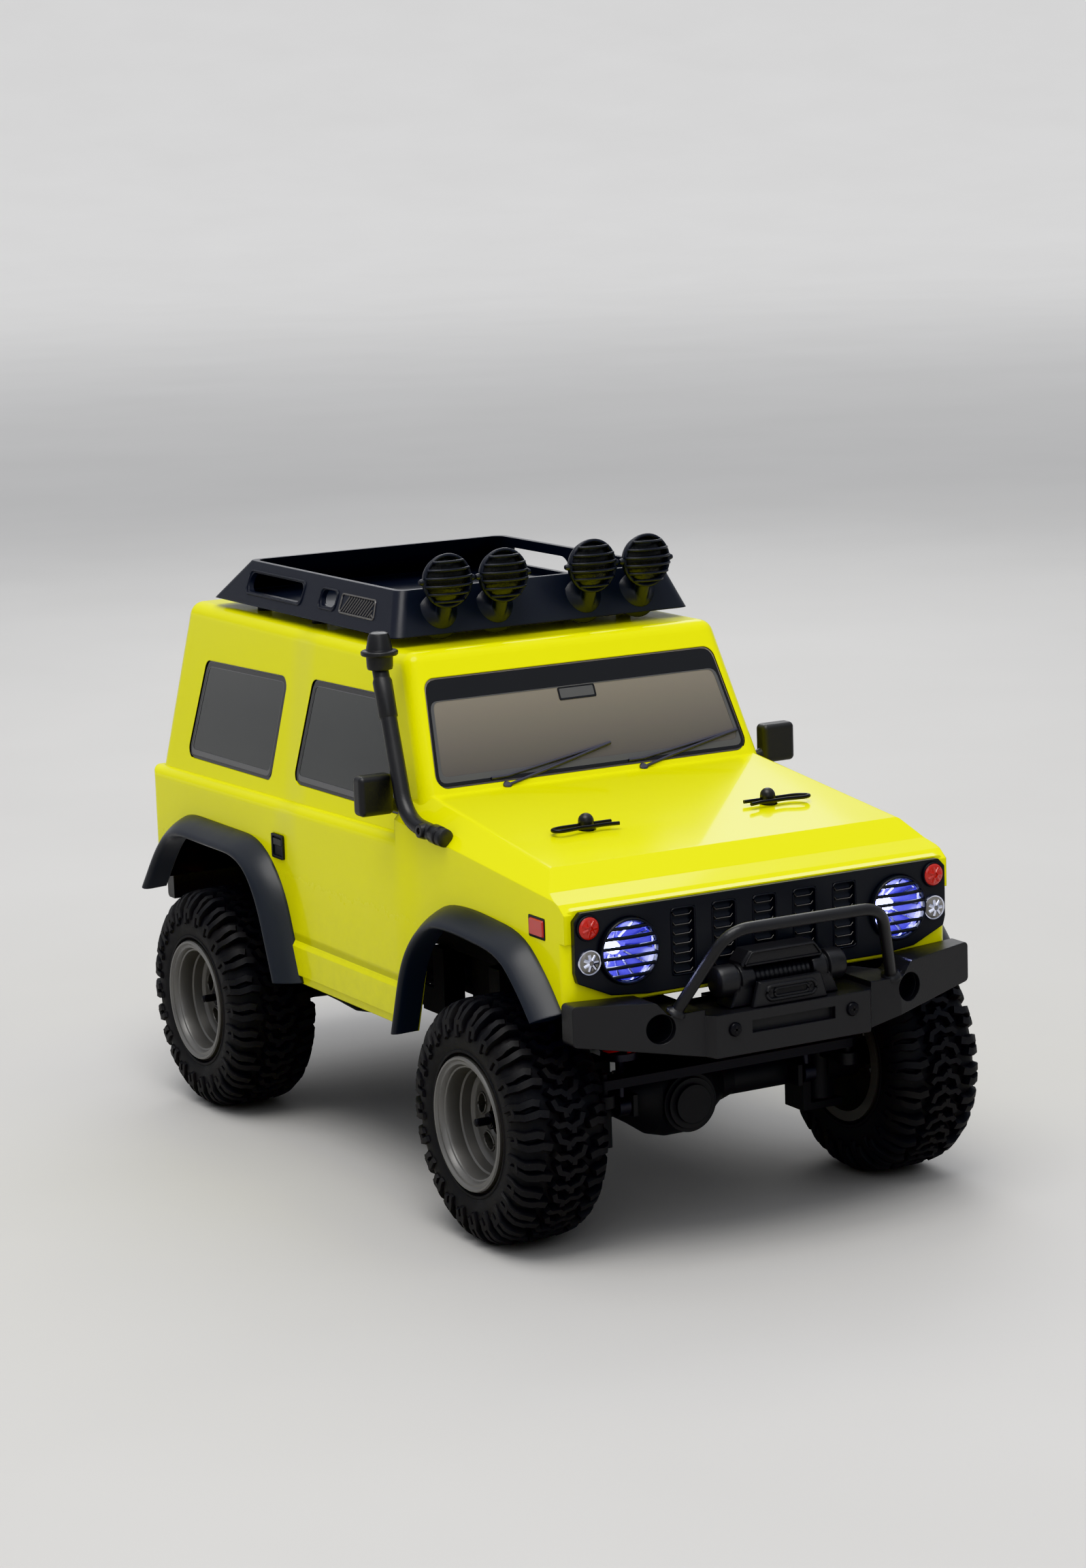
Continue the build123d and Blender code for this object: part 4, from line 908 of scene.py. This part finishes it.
def pane_frame(name, corners, look, widths, grey):
    """Edge of a pane: a printed black band, and a grey line where it meets the glass; the grey line is partly
    print and partly a painted highlight on the inside of the frame, widest where the widths given make it so.
    """
    project = on_plane(look, corners)
    inner_corners = offset_corners(corners, widths)
    inner = rounded_outline(inner_corners, 2.2)
    line = rounded_outline(offset_corners(inner_corners, grey), 1.8)
    printed_ring(f"{name}_band", rounded_outline(corners, 3), inner, project, BAND)
    # Grey line: partly print, partly a painted highlight for light on the inside of the frame, widest along the
    # bottom edge.
    printed_ring(f"{name}_line", inner, line, project, BORDER, height=0.09)


pane_frame("windscreen", SCREEN, from_end("window_glazing", 1), (0.8, 0.7, 5.2, 0.7), (1.5, 0.9, 0.25, 0.9))
pane_frame("rear_window", REAR, from_end("window_glazing", -1), (1.1, 1, 1, 1), (0.9, 0.3, 0.3, 0.3))
for hand, side in SIDES.items():
    look = from_side("window_glazing", side)
    pane_frame(f"quarter_window_{hand}", QUARTER, look, (0.5, 1.3, 1.1, 1.1), (1.5, 0.25, 0.25, 0.5))
    pane_frame(f"door_window_{hand}", DOOR, look, (0.5, 1.1, 1.1, 1.3), (1.5, 0.25, 0.25, 0.25))

screen_view = on_plane(from_end("window_glazing", 1), SCREEN)
mirror_edge = rounded_outline(rectangle(-5.6, 123.2, 5.6, 126.4), 0.5)
mirror_glass = rounded_outline(rectangle(-5.1, 123.7, 5.1, 126.1), 0.3)
printed_ring("rear_view_mirror_edge", mirror_edge, mirror_glass, screen_view, BAND, height=0.1)
patch("rear_view_mirror", mirror_glass, screen_view, BORDER, "smoked_glass", 0.07)

WIPER_FOOT_Z = 104.4
SCREEN_FOOT_Z = 105.5  # below this the wiper lies on the body, above it on the pane
BLADE_Z = 105.9


def wiper(number, pivot_y, tip_y, tip_z):
    """Wiper drawn as a print: pivot, arm and blade."""
    reach = tip_y - pivot_y
    body_view = from_end("body_shell", 1)
    arm = [(pivot_y, WIPER_FOOT_Z), (pivot_y + reach * 0.35, 106.7), (tip_y, tip_z)]
    line = []
    for a, b in rounded_path(arm, 2.5, steps=5):
        line.append(body_view(a, b, 0.25) if b < SCREEN_FOOT_Z else screen_view(a, b, 0.3))
    bent(f"wiper_arm_{number}", line, 0.45, WIPER, smooth=50)
    blade = []
    for t in range(9):
        a = pivot_y + reach * (-0.12 + 1.12 * t / 8)
        b = max(106.5, BLADE_Z + (tip_z - BLADE_Z) * t / 8)
        blade.append(screen_view(a, b, 0.3))
    bent(f"wiper_blade_{number}", blade, 0.36, WIPER, smooth=50)
    pivot = [(-0.3, 1.2), (0.5, 1.15), (0.8, 0.8), (0.85, 0)]
    spot = body_view(pivot_y, WIPER_FOOT_Z, 0)
    turned(f"wiper_pivot_{number}", pivot, spot, WIPER, axis=(0.6, 0, 0.8), segments=20)


wiper(1, -27, 6, 111.4)
wiper(2, 14, 45, 110.6)


# ---------------------------------------------------------------- flares

BODY_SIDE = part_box("body_shell")[1].y / MM
FLARE_ROOT = BODY_SIDE - 0.6  # a little inside the skin
FLARE_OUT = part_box("fender_flares")[1].y / MM
# Outer edge and lip of each flare, seen from the side
ARCHES = {
    "front": (
        [(31.5, 43.2), (39.5, 67.5), (54, 79.6), (70, 81.4), (97, 79.6), (108, 71), (115.2, 63)],
        [(37.6, 43.2), (45.2, 65), (57.4, 75.2), (70, 76.2), (95, 74.8), (104.2, 67.4), (110.6, 60.6)],
    ),
    "rear": (
        [(-126.6, 57), (-112.4, 73.6), (-101, 80), (-52, 80), (-38.4, 69), (-28.6, 43.2)],
        [(-120.6, 55), (-108.2, 69.4), (-98.6, 75), (-54.4, 75), (-44.2, 66.4), (-34.8, 43.2)],
    ),
}
# Cross-section of a flare: (way from its outer edge to its lip, way out from the body)
FLARE_SECTION = [
    (0, 0), (-0.02, 0.08), (0.06, 0.22), (0.22, 0.46), (0.42, 0.68), (0.62, 0.86), (0.78, 0.97), (0.90, 1),
    (1, 0.96), (1.06, 0.84), (1.07, 0.66), (1.03, 0.3), (1, 0),
]


def resampled(points, radius, count):
    """Rounded polyline as a set number of evenly spaced points."""
    path = rounded_path(points, radius, steps=5)
    lengths = [0]
    for a, b in zip(path, path[1:]):
        lengths.append(lengths[-1] + (b - a).length)
    result, k = [], 0
    for i in range(count):
        goal = lengths[-1] * i / (count - 1)
        while k < len(path) - 2 and lengths[k + 1] < goal:
            k += 1
        step = lengths[k + 1] - lengths[k]
        result.append(path[k].lerp(path[k + 1], (goal - lengths[k]) / step))
    return result


def flare(end, hand):
    side = SIDES[hand]
    outer, inner = (resampled(line, 9, 72) for line in ARCHES[end])
    bm = bmesh.new()
    rings = []
    for rim, lip in zip(outer, inner):
        spots = [(rim.lerp(lip, way), FLARE_ROOT + (FLARE_OUT - FLARE_ROOT) * out) for way, out in FLARE_SECTION]
        rings.append([bm.verts.new(Vector((spot.x, side * y, spot.y)) * MM) for spot, y in spots])
    bridge(bm, rings, capped=True)
    put(f"{end}_flare_{hand}", bm, FLARE, smooth=50, hides=["fender_flares"])


for end in ARCHES:
    for hand in SIDES:
        flare(end, hand)


# ---------------------------------------------------------------- snorkel


def snorkel():
    """Raised air intake: plug in the wing, screw boss, pipe up the pillar, head with a cap."""
    base, elbow, top = Vector((57.4, -55.8, 97.2)), Vector((40.5, -57.2, 99)), Vector((23, -54.2, 136))
    line = rounded_path([base + Vector((-1, 0, 0)), elbow, top], 7.5, steps=10)
    bent("snorkel_pipe", line, 2.15, BLACK, 24, smooth=50, hides=["snorkel"])
    along = (elbow - base).normalized()
    plug = [(-1.6, 0), (-1.6, 1.7), (-1.1, 2.35), (0.4, 2.45), (0.6, 2.15), (1.2, 2.15), (1.4, 2.5), (4, 2.5),
            (4.4, 2.2)]
    turned("snorkel_plug", plug, base, BLACK, axis=along, segments=28, smooth=40)
    boss = [(-1.2, 2.2), (0.55, 1.7), (0.6, 0.85), (-0.6, 0.8), (-0.6, 0)]
    spot = base + along * 7.5 + Vector((0, -1.9, 0))
    turned("snorkel_screw_boss", boss, spot, BLACK, axis=(0, -1, 0.1), segments=28, smooth=40)
    bm = bmesh.new()
    lift = (top - elbow).normalized()
    lathe(bm, [(-0.6, 2.1), (0, 2.45), (9.5, 2.55), (10.4, 2.2)], elbow.lerp(top, 0.68), lift, 28)
    head_foot = Vector((23, -54.2, 135.6))
    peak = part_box("snorkel")[1].z / MM - head_foot.z
    head = [(0, 2.4), (0.2, 3.2), (0.9, 3.4), (3.6, 3.5), (3.8, 4.6), (4.1, 4.85), (4.8, 4.85), (5.1, 4.5)]
    head += [(5.2, 3.5), (peak - 0.9, 2.75), (peak - 0.3, 2.4), (peak, 1.7), (peak, 0)]
    lathe(bm, head, head_foot, UP, 36)
    put("snorkel_head", bm, BLACK, smooth=32)


snorkel()


# ---------------------------------------------------------------- roof lamps and rack

LAMP_Y = (-30.2, -13.5, 13.5, 30.2)
LAMP_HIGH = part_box("roof_lamps")[1] / MM
LAMP_X, LAMP_Z = LAMP_HIGH.x - 5, LAMP_HIGH.z - 7.1
LAMP_GUARD_LEVELS = (-5.2, -3.15, -1.05, 1.05, 3.15, 5.2)
GUARD_R = 6.75


def roof_lamp(number, y):
    """Round work lamp behind a domed guard of level bars, on a stalk that grows out of the rack."""
    middle = Vector((LAMP_X, y, LAMP_Z))
    shell = [(-4.6, 0), (-4.55, 1.8), (-4, 3.8), (-2.9, 5.4), (-1.4, 6.4), (-0.4, 6.7), (0.2, 6.75)]
    shell += [(0.2, 7.05), (1.5, 7.05), (1.5, 6.4), (0.6, 6.2), (0.3, 6)]
    turned(f"roof_lamp_shell_{number}", shell, middle, RACK, "lamp_housing", segments=44,
           hides=["roof_lamps"])
    lens = [(0.4, 6.2), (1, 5.2), (1.9, 3.2), (2.3, 1.4), (2.4, 0)]
    turned(f"roof_lamp_lens_{number}", lens, middle, SMOKED_LENS, "lamp_lens", segments=44)
    bm = bmesh.new()
    for level in LAMP_GUARD_LEVELS:
        half = math.sqrt(GUARD_R**2 - level**2)
        bar = []
        for t in range(-8, 9):
            across = half * math.sin(t * math.pi / 16)
            dome = math.sqrt(max(0, 1 - (across**2 + level**2) / 6.9**2))
            bar.append(middle + Vector((0.9 + 3.7 * dome, across, level)))
        tube(bm, bar, 0.4)
    tube(bm, [middle + Vector((1.1, a, b)) for a, b in circle(40, GUARD_R)], 0.5, closed=True)
    put(f"roof_lamp_guard_{number}", bm, RACK, "lamp_housing", smooth=50)
    bm = bmesh.new()
    for side in (-1, 1):
        nub = [(6.6, 0.9), (7.6, 0.85), (8.2, 0.6), (8.3, 0)]
        lathe(bm, nub, middle + Vector((0.6, 0, 0.2)), (0, side, 0), 16)
    put(f"roof_lamp_nubs_{number}", bm, RACK, "lamp_housing")
    foot = cast("roof_rack", (60, y, 146.2), (-1, 0, 0))
    bm = bmesh.new()
    lathe(bm, [(-1, 6.2), (-0.2, 5.2), (0.7, 3.9), (1.6, 2.8), (2.2, 1.6), (2.4, 0)], foot, (1, 0, 0.15), 32)
    neck = [foot + Vector((-0.4, 0, -2.4)), foot + Vector((1.5, 0, 0.4)), middle + Vector((-0.9, 0, -6.2))]
    tube(bm, rounded_path(neck, 2), 2, 20)
    put(f"roof_lamp_stalk_{number}", bm, RACK, "lamp_housing", smooth=50)


for number, y in enumerate(LAMP_Y):
    roof_lamp(number, y)

RIBS = 14
RIB_STEP = 1.45
RIB_LEAN = 3.4  # how far a rib's upper end is ahead of its foot


def rack_hatching(hand):
    """Diagonal ribs pressed into the side of the rack, inside a thin frame; ribs and frame are light grey, a
    painted highlight on the black rack.
    """
    look = from_side("roof_rack", SIDES[hand])
    x0, x1, z0, z1 = -21, -2, 145, 149.8
    bm = bmesh.new()
    for n in range(RIBS):
        start = x0 + 0.9 + n * RIB_STEP
        end = start + RIB_LEAN
        top = z1 - 0.4
        if end > x1 - 0.4:
            top = z0 + (z1 - z0 - 0.4) * max(0.25, (x1 - 0.4 - start) / RIB_LEAN)
            end = x1 - 0.4
        tube(bm, [look(start, z0 + 0.4, 0.05), look(end, top, 0.05)], 0.24, segments=6)
    edge = rounded_outline([(x0, z0), (x1 + 1.4, z0), (x1, z1), (x0 - 0.4, z1)], 0.9)
    tube(bm, [look(a, b, 0.02) for a, b in edge], 0.3, segments=6, closed=True)
    # Painted highlight: the grey of these ribs and frame stands for light on them; the rack itself is black.
    put(f"rack_hatching_{hand}", bm, GLINT_GREY, smooth=50)


def slot_edge(name, hand, x, z, length, height):
    """Thin raised edge around a slot in the side of the rack, half a millimetre outside it."""
    look = from_side("roof_rack", SIDES[hand])
    edge = rounded_box(x, z, length + 1, height + 1, 1.6)
    edge = [look(a, b, 0.02) for a, b in edge]
    bent(f"{name}_{hand}", edge, 0.32, RACK, 6, closed=True, smooth=50)


for hand in SIDES:
    rack_hatching(hand)
    slot_edge("rack_long_slot_edge", hand, -62, 147.6, 34, 5.2)
    slot_edge("rack_short_slot_edge", hand, -29, 147.6, 9, 4.2)


# ---------------------------------------------------------------- body details

HANDLE = (-40.5, 79.5)
MARKER = (104, 82.3)
SILL = [(-34, 45), (35.5, 45), (35.5, 54.8), (-37.8, 54.8)]
SILL_TOP = [(-33.4, 45.4), (35, 45.4), (35, 53.2), (-37, 53.2)]
TAIL_Y = 47.5
TAIL_LENSES = ((82, RED_LENS), (76.5, AMBER_LENS), (71, WHITE_LENS))

tail_view = from_end("body_shell", -1)
for hand, side in SIDES.items():
    skin = from_side("body_shell", side)
    handle = rounded_box(*HANDLE, 7.2, 6.8)
    patch(f"door_handle_plate_{hand}", handle, skin, PANEL, "frame_plastic", 0.25)
    printed_ring(f"door_handle_rim_{hand}", handle, rounded_box(*HANDLE, 5.6, 5.2, 0.4), skin, PANEL,
                 "frame_plastic", 0.6)
    flap = rounded_box(HANDLE[0], HANDLE[1] + 1.2, 5.2, 2, 0.3)
    patch(f"door_handle_flap_{hand}", flap, skin, BLACK, "frame_plastic", 0.55)
    patch(f"sill_panel_{hand}", SILL, skin, YELLOW, "body_yellow", 0.9, top=SILL_TOP)
    patch(f"side_marker_base_{hand}", rounded_box(*MARKER, 8, 5.4, 0.5), skin, PANEL, "lamp_lens", 0.12)
    patch(f"side_marker_{hand}", rounded_box(*MARKER, 7, 4.4, 0.5), skin, RED_LENS, "lamp_lens", 0.5,
          top=rounded_box(*MARKER, 6.4, 3.8, 0.5))
    for number, (z, lens) in enumerate(TAIL_LENSES):
        patch(f"tail_lamp_{number}_{hand}", rounded_box(side * TAIL_Y, z, 6, 4.8, 0.5), tail_view, lens,
              "lamp_lens", 0.5, top=rounded_box(side * TAIL_Y, z, 5.4, 4.2, 0.5))
    patch(f"tail_lamp_base_{hand}", rounded_box(side * TAIL_Y, 76.5, 8, 17.6, 1), tail_view, PANEL,
          "lamp_lens", 0.15)


# ---------------------------------------------------------------- body clips

# Bends of a clip's wire: (way ahead, way out to its own side), from the end of its straight leg
CLIP_BENDS = [
    (0, -7.2), (0, 0), (0, 8), (1.3, 10.6), (3, 10.9), (4.2, 9.4), (3.7, 5.8), (2.95, 3.2), (3.4, 0.1),
    (2.95, -3.2), (3.9, -7.4),
]
CLIP_SPOT = (79.3, 26.9, 100.3)
for hand, side in SIDES.items():
    x, y, z = CLIP_SPOT
    wire = rounded_path([(x + ahead, side * (y + out), z) for ahead, out in CLIP_BENDS], 1.6, steps=5)
    clip = f"body_clip_{hand}"
    bent(f"clip_wire_{hand}", wire, 0.5, STEEL_BLACK, 12, body=clip, smooth=60, hides=[clip])


# ---------------------------------------------------------------- floor, light and camera

FLAT_REACH, COVE_WIDTH, COVE_HEIGHT = 4000, 3000, 900


def pale_floor():
    """Wide pale floor that bends up far away and gives off a little light there, like a studio cove."""
    g = material_graph("studio_floor")
    reach = g.node("VectorMath", g.place, operation="LENGTH", out="Value")
    pale = g.finish(
        Base_Color=g.mix(g.noise(1 / (6 * MM), Detail=3), (0.56, 0.55, 0.53), (0.62, 0.61, 0.59)),
        Roughness=0.75,
        Emission_Color=(0.97, 0.96, 0.94),
        Emission_Strength=g.remap(reach, 0.8, 5, 0, 0.3, ease="SMOOTHSTEP"),
    )
    steps = 12
    profile = [(0, 0), (0, 800)]
    for t in range(steps + 1):
        profile.append((COVE_HEIGHT * (t / steps) ** 2, FLAT_REACH + COVE_WIDTH * t / steps))
    bm = bmesh.new()
    lathe(bm, profile, ORIGIN, UP, 96)
    show("floor", shaded(mesh_from("floor", bm, inwards=True), pale))


def soft_light(name, place, aim, size, power, colour=(1, 1, 1)):
    data = bpy.data.lights.new(name, "AREA")
    data.shape = "DISK"
    data.size = size
    data.energy = power
    data.color = colour
    lamp = show(name, data)
    lamp.location = place
    lamp.rotation_euler = (Vector(aim) - Vector(place)).to_track_quat("-Z", "Y").to_euler()


def overhead_sky():
    """World that is bright overhead and dimmer towards the horizon, like an even overcast sky."""
    world = bpy.data.worlds.new("studio")
    bpy.context.scene.world = world
    g = Graph(world, "Background")
    height = g.node("SeparateXYZ", g.node("TexCoord", out="Generated"), out="Z")
    g.finish(Color=(0.93, 0.95, 1), Strength=g.remap(height, 0, 1, 0.3, 0.95))


def camera_where_photographed():
    """Camera solved from points on the wheels, nose and cabin; places in metres."""
    yaw, pitch, roll = math.radians(29.06), math.radians(10.37), math.radians(-1.97)
    data = bpy.data.cameras.new("camera")
    data.sensor_fit = "VERTICAL"
    data.sensor_height = 36
    data.lens = 88.1
    camera = show("camera", data)
    bpy.context.scene.camera = camera
    back = Vector((math.cos(pitch) * math.cos(yaw), -math.cos(pitch) * math.sin(yaw), math.sin(pitch)))
    turn = back.to_track_quat("Z", "Y").to_matrix() @ Matrix.Rotation(roll, 3, "Z")
    camera.matrix_world = Matrix.Translation((0.89565, -0.49238, 0.28284)) @ turn.to_4x4()


pale_floor()
soft_light("key", (0.35, -0.35, 1.4), (0.03, 0, 0.06), 1, 10, (1, 0.98, 0.95))
soft_light("front_fill", (1.3, -0.5, 0.7), (0.05, 0, 0.06), 0.9, 1.6, (0.97, 0.98, 1))
soft_light("back_rim", (-0.9, 0.5, 0.9), (0, 0, 0.1), 0.8, 4)
overhead_sky()
camera_where_photographed()
bpy.context.scene.view_settings.view_transform = "Khronos PBR Neutral"
